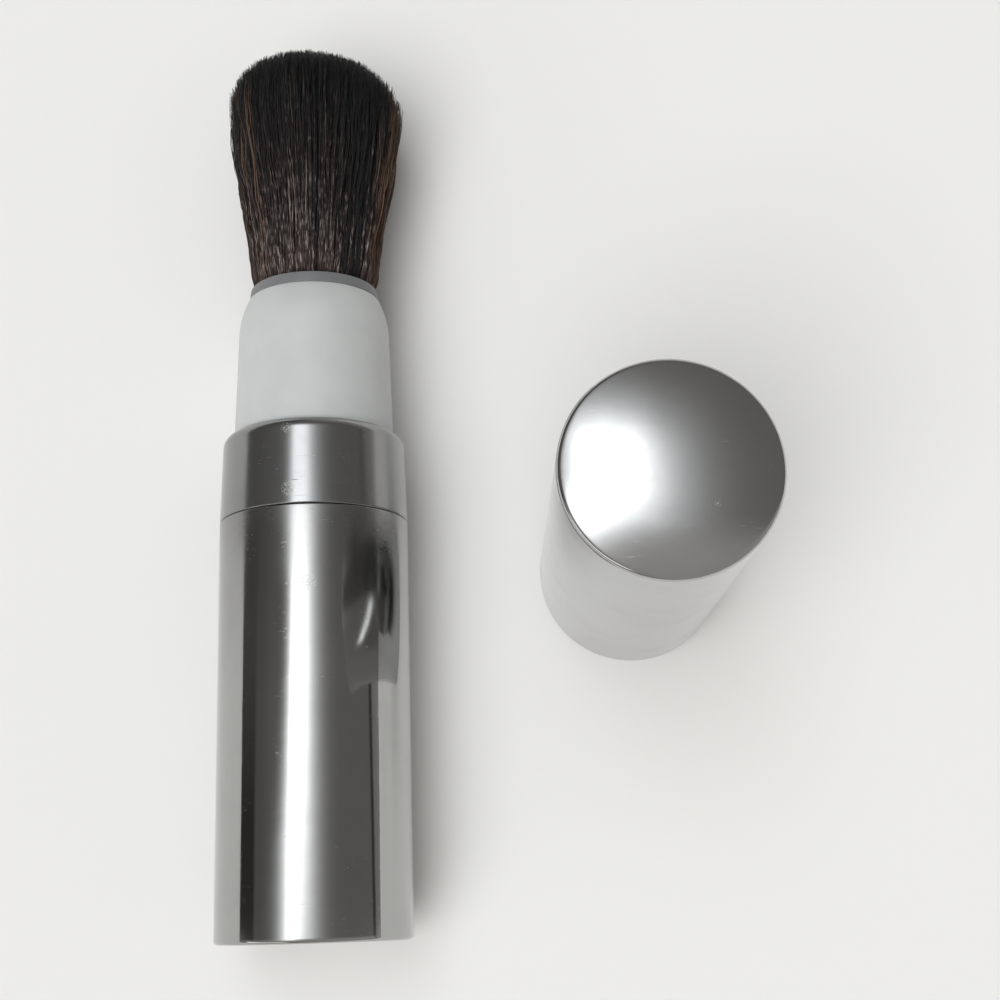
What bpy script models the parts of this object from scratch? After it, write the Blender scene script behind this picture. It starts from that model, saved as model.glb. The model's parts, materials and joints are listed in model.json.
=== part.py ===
# Refillable powder brush lying on its side, with its domed cap stood beside it.
# Lengths are in metres. The brush points along +Y, with the centre of its flat base at the origin.
# Heights named below are measured along the brush from that base, or up from the cap's rim.

import math
import random

import bmesh
import bpy
from mathutils import Matrix, Vector

# Fits
SEAT_GAP = 0.0003          # between pieces that touch, rest or are glued
RUN_GAP = 0.0002           # radial play where the collar turns
SEAM_GAP = 0.0004          # open groove between barrel and collar
TOOL_OVERRUN = 0.0010      # how far a cutter or a joining tab runs past the surface it meets
WELD_DISTANCE = 0.000001

# Barrel shell
BODY_DIAMETER = 0.0280
BARREL_LENGTH = 0.0600
SHELL_WALL = 0.0008
BASE_EDGE_RADIUS = 0.0005
FLOOR_FILLET_RADIUS = 0.0003  # inside the shell, where its floor meets its wall

# Base weight
WEIGHT_THICKNESS = 0.0035
WEIGHT_CHAMFER = 0.0005

# Powder bottle
BOTTLE_WALL = 0.0013
BOTTLE_MOUTH_DROP = 0.0008
BOTTLE_NECK_DEPTH = 0.0132
BOTTLE_WAIST = 0.0010      # how much slimmer the reservoir is than the neck and the foot
BOTTLE_FOOT_HEIGHT = 0.0020

# Gasket, sifter plate and shutter
GASKET_THICKNESS = 0.0006
GASKET_EDGE_SHARE = 0.2    # share of the bottle's seat left bare at the gasket's inner edge
SIFTER_FLANGE_THICKNESS = 0.0010
SIFTER_BOSS_THICKNESS = 0.0010
SHUTTER_THICKNESS = 0.0012
POWDER_HOLE_COUNT = 6
POWDER_HOLE_SETBACK = 0.0014  # from the bell's bore in to the circle of hole centres
POWDER_HOLE_SHARE = 0.43   # a sifter hole's width, as a share of the pitch between the holes
SHUTTER_HOLE_MARGIN = 0.0001
KEY_WIDTH = 0.0020
KEY_REACH = 0.0008

# Neck ring
PLUG_WALL = 0.0018
PLUG_CHAMFER = 0.0005
GROOVE_DEPTH = 0.0010
GROOVE_WIDTH = 0.0014
GROOVE_RISE = 0.0038       # groove centre above the plug's lower end
FLANGE_THICKNESS = 0.0006
SPIGOT_INSET = 0.0004      # how much slimmer the spigot is than the plug
SPIGOT_LENGTH = 0.0064
BEAD_REACH = 0.00045
BEAD_LENGTH = 0.0006
BEAD_SLOPE = 0.0004
BEAD_BELOW_TOP = 0.0007
STOP_WIDTH = 0.0030
STOP_HEIGHT = 0.0010
STOP_THICKNESS = 0.0009
COLLAR_TURN = math.radians(90)

# Bearing washer
WASHER_THICKNESS = 0.0004

# Twist collar
COLLAR_LENGTH = 0.0130
COLLAR_TAPER = 0.00035
COLLAR_SHOULDER_RADIUS = 0.0018
COLLAR_WALL = 0.0008
COLLAR_FOOT_CHAMFER = 0.0002

# Collar carrier
CARRIER_WEB_THICKNESS = 0.0012
CARRIER_HUB_HEIGHT = 0.0030
CARRIER_HUB_WALL = 0.0012

# Feed tube
TUBE_BORE_RADIUS = 0.0018
TUBE_WALL = 0.0008
BELL_PLAY = 0.0010         # from the bell out to the spring's wire
BELL_WALL = 0.0010
BELL_STRAIGHT = 0.0025
BELL_CONE = 0.0040
TUBE_FLANGE_RISE = 0.0008  # the spring's seat above the cone's top
TUBE_FLANGE_PLAY = 0.0010  # from the flange out to the plug's bore
TUBE_FLANGE_THICKNESS = 0.0009
DOG_WIDTH = 0.0016
TUBE_STAND = 0.0006        # how far the tube stands out of the glue plug

# Valve spring
SPRING_WIRE = 0.0006
SPRING_SETBACK = 0.0007    # from the flange's edge in to the middle of the wire
SPRING_TURNS = 4
SPRING_POINTS_PER_TURN = 12

# Round seals
SEAL_RADIUS = 0.00045
SEAL_PROUD = 0.0001        # how far the neck's ring stands out of its groove

# Brush sleeve
SLEEVE_STEP = 0.00165      # how much slimmer the sleeve's foot is than the collar's top
SLEEVE_LENGTH = 0.0219     # from the collar's top to the sleeve's rim
SLEEVE_DRAFT = 0.0005
SLEEVE_SHOULDER_RADIUS = 0.0130
SLEEVE_SHOULDER_ANGLE = math.radians(27)
SLEEVE_WALL = 0.0012
SLEEVE_FOOT_THICKNESS = 0.0020

# Ferrule ring
RING_HEIGHT = 0.0015       # the grey band that shows above the sleeve
RING_INSET = 0.0001        # how far the ring stands back from the sleeve's rim
RING_SLANT = 0.00021
FERRULE_WALL = 0.00045
FERRULE_DEPTH = 0.0066
FERRULE_LEDGE_WIDTH = 0.0018
FERRULE_LEDGE_THICKNESS = 0.0008

# Bristles
GLUE_SETBACK = 0.0007      # how far the glue plug's top lies below the ferrule's mouth
BRISTLE_LENGTH = 0.0394    # from the ferrule's top to the tip
DOME_HEIGHT = 0.0092
FLARE_SPREAD = 0.0039      # how far the tips spread past the ring's top
STRAND_RINGS = 8
STRANDS_PER_RING = 10
STRAND_SIDES = 3
ROOT_STRAND_RADIUS = 0.00025
BODY_STRAND_RADIUS = 0.00042
TIP_STRAND_RADIUS = 0.00036
TIP_SCATTER = 0.0004
ROOT_MARGIN = 0.00015
FLARE_HEIGHT_SHARE = 0.40  # where the strands' second section lies, as a share of their height
FLARE_RADIUS_SHARE = 0.52  # how far they have spread there, as a share of their whole spread

# Cap
CAP_HEIGHT = 0.0645
CAP_DOME_RISE = 0.0016
CAP_EDGE_RADIUS = 0.0008
CAP_WALL = 0.0006
CAP_RIM_CHAMFER = 0.0002
CAP_PLACE_X = 0.0481
CAP_PLACE_Y = 0.0544
LINER_WALL = 0.0009
LINER_DROP = 0.0005        # how far the liner stays back from the cap's rim
LINER_LENGTH = 0.0580
GRIP_BEAD_REACH = 0.0001
GRIP_BEAD_LENGTH = 0.0012
GRIP_BEAD_RISE = 0.0020

# Faceting
DOME_STEPS = 6
SEAL_SIDES = 6
SHOWN_SIDES = 40
INNER_SIDES = 32
SMALL_SIDES = 24
HOLE_SIDES = 12
ARC_STEPS = 4

# Heights along the brush, from the base up
BODY_RADIUS = BODY_DIAMETER / 2
SHELL_INNER_RADIUS = BODY_RADIUS - SHELL_WALL
WEIGHT_BOTTOM = SHELL_WALL + SEAT_GAP
BOTTLE_BOTTOM = WEIGHT_BOTTOM + WEIGHT_THICKNESS + SEAT_GAP
BOTTLE_MOUTH = BARREL_LENGTH - BOTTLE_MOUTH_DROP
BOTTLE_SEAT = BOTTLE_MOUTH - BOTTLE_NECK_DEPTH
BOTTLE_OUTER_RADIUS = SHELL_INNER_RADIUS - SEAT_GAP
NECK_BORE_RADIUS = BOTTLE_OUTER_RADIUS - BOTTLE_WALL
RESERVOIR_RADIUS = NECK_BORE_RADIUS - BOTTLE_WAIST
GASKET_BOTTOM = BOTTLE_SEAT + SEAT_GAP
SIFTER_BOTTOM = GASKET_BOTTOM + GASKET_THICKNESS + SEAT_GAP
SIFTER_FLANGE_TOP = SIFTER_BOTTOM + SIFTER_FLANGE_THICKNESS
SIFTER_TOP = SIFTER_FLANGE_TOP + SIFTER_BOSS_THICKNESS
PLUG_BOTTOM = SIFTER_FLANGE_TOP + SEAT_GAP
PLUG_RADIUS = NECK_BORE_RADIUS - SEAT_GAP
PLUG_BORE_RADIUS = PLUG_RADIUS - PLUG_WALL
SHUTTER_BOTTOM = SIFTER_TOP + SEAT_GAP
SHUTTER_TOP = SHUTTER_BOTTOM + SHUTTER_THICKNESS
TUBE_FLANGE_RADIUS = PLUG_BORE_RADIUS - TUBE_FLANGE_PLAY
SPRING_RADIUS = TUBE_FLANGE_RADIUS - SPRING_SETBACK
BELL_RADIUS = SPRING_RADIUS - SPRING_WIRE / 2 - BELL_PLAY
POWDER_HOLE_CIRCLE = BELL_RADIUS - BELL_WALL - POWDER_HOLE_SETBACK
SIFTER_HOLE_RADIUS = POWDER_HOLE_CIRCLE * math.sin(math.pi / POWDER_HOLE_COUNT) * POWDER_HOLE_SHARE
SHUTTER_HOLE_RADIUS = SIFTER_HOLE_RADIUS + SHUTTER_HOLE_MARGIN
FLANGE_BOTTOM = BOTTLE_MOUTH + SEAT_GAP
FLANGE_TOP = FLANGE_BOTTOM + FLANGE_THICKNESS
FLANGE_RADIUS = SHELL_INNER_RADIUS - SEAT_GAP
SPIGOT_RADIUS = PLUG_RADIUS - SPIGOT_INSET
SPIGOT_TOP = FLANGE_TOP + SPIGOT_LENGTH
BEAD_RADIUS = SPIGOT_RADIUS + BEAD_REACH
BEAD_TOP = SPIGOT_TOP - BEAD_BELOW_TOP
BEAD_BOTTOM = BEAD_TOP - BEAD_LENGTH
WASHER_BOTTOM = FLANGE_TOP + SEAT_GAP
WASHER_TOP = WASHER_BOTTOM + WASHER_THICKNESS
COLLAR_BOTTOM = BARREL_LENGTH + SEAM_GAP
COLLAR_TOP = COLLAR_BOTTOM + COLLAR_LENGTH
CARRIER_BOTTOM = WASHER_TOP + SEAT_GAP
WEB_BOTTOM = SPIGOT_TOP + STOP_HEIGHT + SEAT_GAP
WEB_TOP = WEB_BOTTOM + CARRIER_WEB_THICKNESS
HUB_TOP = WEB_TOP + CARRIER_HUB_HEIGHT
BELL_BOTTOM = SHUTTER_TOP + SEAT_GAP
CONE_BOTTOM = BELL_BOTTOM + BELL_STRAIGHT
CONE_TOP = CONE_BOTTOM + BELL_CONE
TUBE_FLANGE_BOTTOM = CONE_TOP + TUBE_FLANGE_RISE
TUBE_FLANGE_TOP = TUBE_FLANGE_BOTTOM + TUBE_FLANGE_THICKNESS
TUBE_RADIUS = TUBE_BORE_RADIUS + TUBE_WALL
SEAL_RECESS_RADIUS = TUBE_RADIUS + SEAT_GAP * 2 + SEAL_RADIUS * 2
SEAL_RECESS_BOTTOM = HUB_TOP - SEAL_RADIUS * 2 - SEAT_GAP
SLEEVE_BOTTOM = WEB_TOP + SEAT_GAP
SLEEVE_TOP = COLLAR_TOP + SLEEVE_LENGTH
SLEEVE_RADIUS = BODY_RADIUS - COLLAR_TAPER - SLEEVE_STEP
SLEEVE_RIM_RADIUS = (SLEEVE_RADIUS - SLEEVE_DRAFT
                     - SLEEVE_SHOULDER_RADIUS * (1 - math.cos(SLEEVE_SHOULDER_ANGLE)))
RING_BOTTOM = SLEEVE_TOP + SEAT_GAP
RING_TOP = RING_BOTTOM + RING_HEIGHT
RING_FOOT_RADIUS = SLEEVE_RIM_RADIUS - RING_INSET
RING_TOP_RADIUS = RING_FOOT_RADIUS - RING_SLANT
FERRULE_BORE_RADIUS = RING_TOP_RADIUS - FERRULE_WALL - SEAT_GAP
FERRULE_RADIUS = FERRULE_BORE_RADIUS + FERRULE_WALL
FERRULE_BOTTOM = RING_TOP - FERRULE_DEPTH
GLUE_BOTTOM = FERRULE_BOTTOM + FERRULE_LEDGE_THICKNESS + SEAT_GAP
GLUE_TOP = RING_TOP - GLUE_SETBACK
GLUE_RADIUS = FERRULE_BORE_RADIUS - SEAT_GAP
TUBE_TOP = GLUE_TOP + TUBE_STAND
BRISTLE_TIP = RING_TOP + BRISTLE_LENGTH
FLARE_RADIUS = RING_TOP_RADIUS + FLARE_SPREAD


# Collections, materials and modifiers

def make_collection(name):
    collection = bpy.data.collections.new(name)
    bpy.context.scene.collection.children.link(collection)
    return collection


def make_material(name, colour, metallic, roughness):
    material = bpy.data.materials.new(name)
    material.use_nodes = True
    shader = material.node_tree.nodes["Principled BSDF"]
    shader.inputs["Base Color"].default_value = (*colour, 1)
    shader.inputs["Metallic"].default_value = metallic
    shader.inputs["Roughness"].default_value = roughness
    material.diffuse_color = (*colour, 1)
    return material


def place(part, collection, parent):
    for linked in part.users_collection:
        linked.objects.unlink(part)
    collection.objects.link(part)
    part.parent = parent
    return part


def make_axis(name, collection, turn=(0, 0, 0), location=(0, 0, 0), parent=None):
    """An empty whose local Z axis is the axis that its pieces are turned about."""
    axis = bpy.data.objects.new(name, None)
    axis.rotation_euler = turn
    axis.location = location
    axis.empty_display_size = BODY_RADIUS
    return place(axis, collection, parent)


def make_turned(name, profile, closed, sides, material, collection, parent):
    """Spins (radius, height) points, which run down the outer side, about the parent's Z axis."""
    mesh = bpy.data.meshes.new(name)
    last = len(profile) - 1
    edges = [(i, i + 1) for i in range(last)]
    if closed:
        edges.append((last, 0))
    mesh.from_pydata([(radius, 0, height) for radius, height in profile], edges, [])
    mesh.materials.append(material)
    part = bpy.data.objects.new(name, mesh)
    turn = part.modifiers.new("turn", "SCREW")
    turn.axis = "Z"
    turn.steps = sides
    turn.render_steps = sides
    turn.use_merge_vertices = True
    turn.merge_threshold = WELD_DISTANCE
    turn.use_smooth_shade = True
    return place(part, collection, parent)


def shade_rounds(part):
    """Keeps flat faces flat and round ones round, after every other modifier."""
    normals = part.modifiers.new("normals", "WEIGHTED_NORMAL")
    normals.keep_sharp = True


def combine(part, tool, operation):
    boolean = part.modifiers.new(tool.name, "BOOLEAN")
    boolean.operation = operation
    boolean.solver = "EXACT"
    boolean.object = tool


def hide_tool(tool, collection, parent):
    tool.display_type = "WIRE"
    tool.hide_render = True
    return place(tool, collection, parent)


def make_tool(name, bm, collection, parent):
    mesh = bpy.data.meshes.new(name)
    bm.to_mesh(mesh)
    bm.free()
    return hide_tool(bpy.data.objects.new(name, mesh), collection, parent)


def arc(centre_radius, centre_height, size, start, end, steps=ARC_STEPS):
    """Points of a profile's round stretch, from one angle to another, in degrees."""
    points = []
    for step in range(steps + 1):
        angle = math.radians(start + (end - start) * step / steps)
        points.append((centre_radius + size * math.cos(angle), centre_height + size * math.sin(angle)))
    return points


def ring_of_cylinders(name, count, circle, radius, bottom, top, offset, collection, parent):
    """Round cutters spaced evenly on a circle, each with a flat side towards its middle."""
    bm = bmesh.new()
    for index in range(count):
        angle = offset + index * math.tau / count
        centre = Vector((circle * math.cos(angle), circle * math.sin(angle), (bottom + top) / 2))
        matrix = Matrix.Translation(centre) @ Matrix.Rotation(angle + math.pi / HOLE_SIDES, 4, "Z")
        bmesh.ops.create_cone(bm, cap_ends=True, segments=HOLE_SIDES, radius1=radius, radius2=radius,
                              depth=top - bottom, matrix=matrix)
    return make_tool(name, bm, collection, parent)


def ring_of_blocks(name, angles, inner, outer, width, bottom, top, collection, parent):
    """Square tabs or cutters that point outwards at the given angles."""
    bm = bmesh.new()
    centre = Vector(((inner + outer) / 2, 0, (bottom + top) / 2))
    size = Vector((outer - inner, width, top - bottom))
    for angle in angles:
        matrix = (Matrix.Rotation(angle, 4, "Z") @ Matrix.Translation(centre)
                  @ Matrix.Diagonal(size).to_4x4())
        bmesh.ops.create_cube(bm, size=1, matrix=matrix)
    return make_tool(name, bm, collection, parent)


# Barrel

def build_barrel_shell(collection, axis):
    """Deep-drawn cup whose base edge is just broken."""
    metal = make_material("mirror_metal", (0.80, 0.80, 0.80), 1.0, 0.06)
    fillet = FLOOR_FILLET_RADIUS
    profile = [(0, SHELL_WALL)]
    profile += arc(SHELL_INNER_RADIUS - fillet, SHELL_WALL + fillet, fillet, -90, 0, 2)
    profile += [(SHELL_INNER_RADIUS, BARREL_LENGTH), (BODY_RADIUS, BARREL_LENGTH)]
    profile += arc(BODY_RADIUS - BASE_EDGE_RADIUS, BASE_EDGE_RADIUS, BASE_EDGE_RADIUS, 0, -90)
    profile += [(0, 0)]
    shade_rounds(make_turned("barrel_shell", profile, False, SHOWN_SIDES, metal, collection, axis))


def build_base_weight(collection, axis):
    """Steel disc that fills the bottom of the shell."""
    steel = make_material("weight_steel", (0.42, 0.43, 0.45), 1.0, 0.45)
    radius = SHELL_INNER_RADIUS - SEAT_GAP
    top = WEIGHT_BOTTOM + WEIGHT_THICKNESS
    profile = [(0, top), (radius - WEIGHT_CHAMFER, top), (radius, top - WEIGHT_CHAMFER),
               (radius, WEIGHT_BOTTOM), (0, WEIGHT_BOTTOM)]
    shade_rounds(make_turned("base_weight", profile, False, INNER_SIDES, steel, collection, axis))


def build_powder_bottle(collection, axis):
    """Blown bottle with a wide neck, a seat for the gasket and a foot that centres it."""
    plastic = make_material("bottle_plastic", (0.86, 0.87, 0.88), 0.0, 0.35)
    outer_waist = BOTTLE_OUTER_RADIUS - BOTTLE_WAIST
    neck_bottom = BOTTLE_SEAT - BOTTLE_WALL
    profile = [(0, BOTTLE_BOTTOM + BOTTLE_WALL),
               (RESERVOIR_RADIUS, BOTTLE_BOTTOM + BOTTLE_WALL),
               (RESERVOIR_RADIUS, BOTTLE_SEAT),
               (NECK_BORE_RADIUS, BOTTLE_SEAT),
               (NECK_BORE_RADIUS, BOTTLE_MOUTH),
               (BOTTLE_OUTER_RADIUS, BOTTLE_MOUTH),
               (BOTTLE_OUTER_RADIUS, neck_bottom),
               (outer_waist, neck_bottom - BOTTLE_WAIST),
               (outer_waist, BOTTLE_BOTTOM + BOTTLE_FOOT_HEIGHT),
               (BOTTLE_OUTER_RADIUS, BOTTLE_BOTTOM + BOTTLE_FOOT_HEIGHT),
               (BOTTLE_OUTER_RADIUS, BOTTLE_BOTTOM),
               (0, BOTTLE_BOTTOM)]
    shade_rounds(make_turned("powder_bottle", profile, False, INNER_SIDES, plastic, collection, axis))


# Valve unit

def build_neck_ring(collection, tools, axis):
    """Plug with a seal groove, flange, and a spigot with a snap bead and a stop tab on its end."""
    plastic = make_material("valve_plastic", (0.30, 0.31, 0.33), 0.0, 0.40)
    groove = PLUG_BOTTOM + GROOVE_RISE
    profile = [(PLUG_BORE_RADIUS, SPIGOT_TOP),
               (SPIGOT_RADIUS, SPIGOT_TOP),
               (SPIGOT_RADIUS, BEAD_TOP + BEAD_SLOPE),
               (BEAD_RADIUS, BEAD_TOP),
               (BEAD_RADIUS, BEAD_BOTTOM),
               (SPIGOT_RADIUS, BEAD_BOTTOM - BEAD_SLOPE),
               (SPIGOT_RADIUS, FLANGE_TOP),
               (FLANGE_RADIUS, FLANGE_TOP),
               (FLANGE_RADIUS, FLANGE_BOTTOM),
               (PLUG_RADIUS, FLANGE_BOTTOM),
               (PLUG_RADIUS, groove + GROOVE_WIDTH / 2),
               (PLUG_RADIUS - GROOVE_DEPTH, groove + GROOVE_WIDTH / 2),
               (PLUG_RADIUS - GROOVE_DEPTH, groove - GROOVE_WIDTH / 2),
               (PLUG_RADIUS, groove - GROOVE_WIDTH / 2),
               (PLUG_RADIUS, PLUG_BOTTOM + PLUG_CHAMFER),
               (PLUG_RADIUS - PLUG_CHAMFER, PLUG_BOTTOM),
               (PLUG_BORE_RADIUS, PLUG_BOTTOM)]
    ring = make_turned("neck_ring", profile, True, INNER_SIDES, plastic, collection, axis)
    stop_inner = (PLUG_BORE_RADIUS + SPIGOT_RADIUS - STOP_THICKNESS) / 2
    tab = ring_of_blocks("stop_tab", [0], stop_inner, stop_inner + STOP_THICKNESS, STOP_WIDTH,
                         SPIGOT_TOP - TOOL_OVERRUN, SPIGOT_TOP + STOP_HEIGHT, tools, axis)
    notches = ring_of_blocks("key_notches", [0, math.pi], PLUG_BORE_RADIUS - TOOL_OVERRUN,
                             PLUG_BORE_RADIUS + KEY_REACH, KEY_WIDTH + SEAT_GAP * 2,
                             PLUG_BOTTOM - TOOL_OVERRUN, SIFTER_TOP + SEAT_GAP, tools, axis)
    combine(ring, tab, "UNION")
    combine(ring, notches, "DIFFERENCE")
    shade_rounds(ring)


def build_neck_o_ring(collection, axis):
    """Rubber ring that lies in the plug's groove."""
    rubber = make_material("neck_rubber", (0.05, 0.05, 0.055), 0.0, 0.60)
    bpy.ops.mesh.primitive_torus_add(major_radius=PLUG_RADIUS + SEAL_PROUD - SEAL_RADIUS,
                                     minor_radius=SEAL_RADIUS, major_segments=INNER_SIDES,
                                     minor_segments=SEAL_SIDES, location=(0, 0, PLUG_BOTTOM + GROOVE_RISE))
    finish_seal("neck_o_ring", rubber, collection, axis)


def finish_seal(name, rubber, collection, axis):
    seal = bpy.context.object
    seal.name = name
    seal.data.name = name
    seal.data.materials.append(rubber)
    seal.data.shade_smooth()
    place(seal, collection, axis)


def build_sifter_plate(collection, tools, axis):
    """Fixed plate: a flange under the plug, a boss inside it, key tabs and a circle of holes."""
    plastic = make_material("sifter_plastic", (0.82, 0.83, 0.84), 0.0, 0.35)
    boss_radius = PLUG_BORE_RADIUS - SEAT_GAP
    flange_radius = PLUG_RADIUS - SEAT_GAP
    profile = [(0, SIFTER_TOP), (boss_radius, SIFTER_TOP), (boss_radius, SIFTER_FLANGE_TOP),
               (flange_radius, SIFTER_FLANGE_TOP), (flange_radius, SIFTER_BOTTOM), (0, SIFTER_BOTTOM)]
    plate = make_turned("sifter_plate", profile, False, INNER_SIDES, plastic, collection, axis)
    keys = ring_of_blocks("sifter_keys", [0, math.pi], boss_radius - TOOL_OVERRUN,
                          boss_radius + KEY_REACH, KEY_WIDTH,
                          SIFTER_BOTTOM + SIFTER_FLANGE_THICKNESS / 2, SIFTER_TOP, tools, axis)
    holes = ring_of_cylinders("sifter_holes", POWDER_HOLE_COUNT, POWDER_HOLE_CIRCLE,
                              SIFTER_HOLE_RADIUS, SIFTER_BOTTOM - TOOL_OVERRUN,
                              SIFTER_TOP + TOOL_OVERRUN, 0, tools, axis)
    combine(plate, keys, "UNION")
    combine(plate, holes, "DIFFERENCE")
    shade_rounds(plate)


def build_sifter_gasket(collection, axis):
    """Flat ring on the bottle's seat."""
    rubber = make_material("gasket_rubber", (0.70, 0.71, 0.72), 0.0, 0.70)
    inner = RESERVOIR_RADIUS + BOTTLE_WAIST * GASKET_EDGE_SHARE
    outer = NECK_BORE_RADIUS - SEAT_GAP
    top = GASKET_BOTTOM + GASKET_THICKNESS
    profile = [(inner, top), (outer, top), (outer, GASKET_BOTTOM), (inner, GASKET_BOTTOM)]
    shade_rounds(make_turned("sifter_gasket", profile, True, INNER_SIDES, rubber, collection, axis))


def build_bearing_washer(collection, axis):
    """Dark washer under the carrier, the line that shows in the seam."""
    plastic = make_material("washer_plastic", (0.04, 0.04, 0.045), 0.0, 0.50)
    inner = SPIGOT_RADIUS + SEAT_GAP
    profile = [(inner, WASHER_TOP), (FLANGE_RADIUS, WASHER_TOP),
               (FLANGE_RADIUS, WASHER_BOTTOM), (inner, WASHER_BOTTOM)]
    shade_rounds(make_turned("bearing_washer", profile, True, INNER_SIDES, plastic, collection, axis))


# Brush head

def collar_inner_radius(height):
    """Inside of the collar's wall, which tapers towards its shoulder."""
    share = (height - COLLAR_BOTTOM) / (COLLAR_LENGTH - COLLAR_SHOULDER_RADIUS)
    return BODY_RADIUS - COLLAR_WALL - COLLAR_TAPER * share


def build_twist_collar(collection, axis):
    """Drawn metal collar with a slight taper and a rolled shoulder."""
    metal = make_material("collar_metal", (0.78, 0.78, 0.78), 1.0, 0.07)
    shoulder = COLLAR_TOP - COLLAR_SHOULDER_RADIUS
    top_radius = BODY_RADIUS - COLLAR_TAPER
    lip_radius = SLEEVE_RADIUS + SEAT_GAP
    shoulder_centre = top_radius - COLLAR_SHOULDER_RADIUS
    inner_size = COLLAR_SHOULDER_RADIUS - COLLAR_WALL
    lip_reach = lip_radius - shoulder_centre
    outer_end = math.degrees(math.acos(lip_reach / COLLAR_SHOULDER_RADIUS))
    inner_end = math.degrees(math.acos(lip_reach / inner_size))
    profile = arc(shoulder_centre, shoulder, COLLAR_SHOULDER_RADIUS, outer_end, 0, 5)
    profile += [(BODY_RADIUS, COLLAR_BOTTOM + COLLAR_FOOT_CHAMFER),
                (BODY_RADIUS - COLLAR_FOOT_CHAMFER, COLLAR_BOTTOM),
                (collar_inner_radius(COLLAR_BOTTOM), COLLAR_BOTTOM)]
    profile += arc(shoulder_centre, shoulder, inner_size, 0, inner_end, 2)
    shade_rounds(make_turned("twist_collar", profile, True, SHOWN_SIDES, metal, collection, axis))


def build_collar_carrier(collection, tools, axis):
    """Moulded insert: skirt with the snap bead, web with the two stop ribs, and the tube's hub."""
    plastic = make_material("carrier_plastic", (0.80, 0.81, 0.82), 0.0, 0.40)
    skirt_bore = BEAD_RADIUS + SEAT_GAP
    bead_bore = SPIGOT_RADIUS + RUN_GAP
    catch_top = BEAD_BOTTOM - BEAD_SLOPE - SEAT_GAP
    catch_bottom = catch_top - BEAD_LENGTH
    tube_bore = TUBE_RADIUS + SEAT_GAP
    hub_radius = SEAL_RECESS_RADIUS + CARRIER_HUB_WALL
    profile = [(SEAL_RECESS_RADIUS, HUB_TOP),
               (hub_radius, HUB_TOP),
               (hub_radius, WEB_TOP),
               (collar_inner_radius(WEB_TOP) - SEAT_GAP, WEB_TOP),
               (collar_inner_radius(CARRIER_BOTTOM) - SEAT_GAP, CARRIER_BOTTOM),
               (skirt_bore, CARRIER_BOTTOM),
               (bead_bore, catch_bottom),
               (bead_bore, catch_top),
               (skirt_bore, catch_top + BEAD_SLOPE),
               (skirt_bore, WEB_BOTTOM),
               (tube_bore, WEB_BOTTOM),
               (tube_bore, SEAL_RECESS_BOTTOM),
               (SEAL_RECESS_RADIUS, SEAL_RECESS_BOTTOM)]
    carrier = make_turned("collar_carrier", profile, True, INNER_SIDES, plastic, collection, axis)
    # The tab stands between two ribs: one beside it at rest, the other a quarter turn away
    stop_inner = (PLUG_BORE_RADIUS + SPIGOT_RADIUS - STOP_THICKNESS) / 2
    rib_step = (STOP_WIDTH + SEAT_GAP) / (stop_inner + STOP_THICKNESS / 2)
    ribs = ring_of_blocks("stop_ribs", [rib_step, -rib_step - COLLAR_TURN], stop_inner,
                          stop_inner + STOP_THICKNESS, STOP_WIDTH,
                          SPIGOT_TOP + SEAT_GAP, WEB_BOTTOM + CARRIER_WEB_THICKNESS / 2, tools, axis)
    combine(carrier, ribs, "UNION")
    shade_rounds(carrier)


def build_shutter_disc(collection, tools, axis):
    """Turning disc: its holes lie between the sifter's when closed, over them when open."""
    plastic = make_material("shutter_plastic", (0.55, 0.56, 0.58), 0.0, 0.40)
    radius = PLUG_BORE_RADIUS - SEAT_GAP
    profile = [(0, SHUTTER_TOP), (radius, SHUTTER_TOP), (radius, SHUTTER_BOTTOM), (0, SHUTTER_BOTTOM)]
    disc = make_turned("shutter_disc", profile, False, INNER_SIDES, plastic, collection, axis)
    closed_offset = math.pi / POWDER_HOLE_COUNT
    holes = ring_of_cylinders("shutter_holes", POWDER_HOLE_COUNT, POWDER_HOLE_CIRCLE,
                              SHUTTER_HOLE_RADIUS, SHUTTER_BOTTOM - TOOL_OVERRUN,
                              SHUTTER_TOP + TOOL_OVERRUN, closed_offset, tools, axis)
    slots = ring_of_blocks("drive_slots", [0, math.pi], BELL_RADIUS - BELL_WALL - SEAT_GAP,
                           BELL_RADIUS + SEAT_GAP, DOG_WIDTH + SEAT_GAP * 2,
                           SHUTTER_BOTTOM - TOOL_OVERRUN, SHUTTER_TOP + TOOL_OVERRUN, tools, axis)
    combine(disc, holes, "DIFFERENCE")
    combine(disc, slots, "DIFFERENCE")
    shade_rounds(disc)


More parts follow.
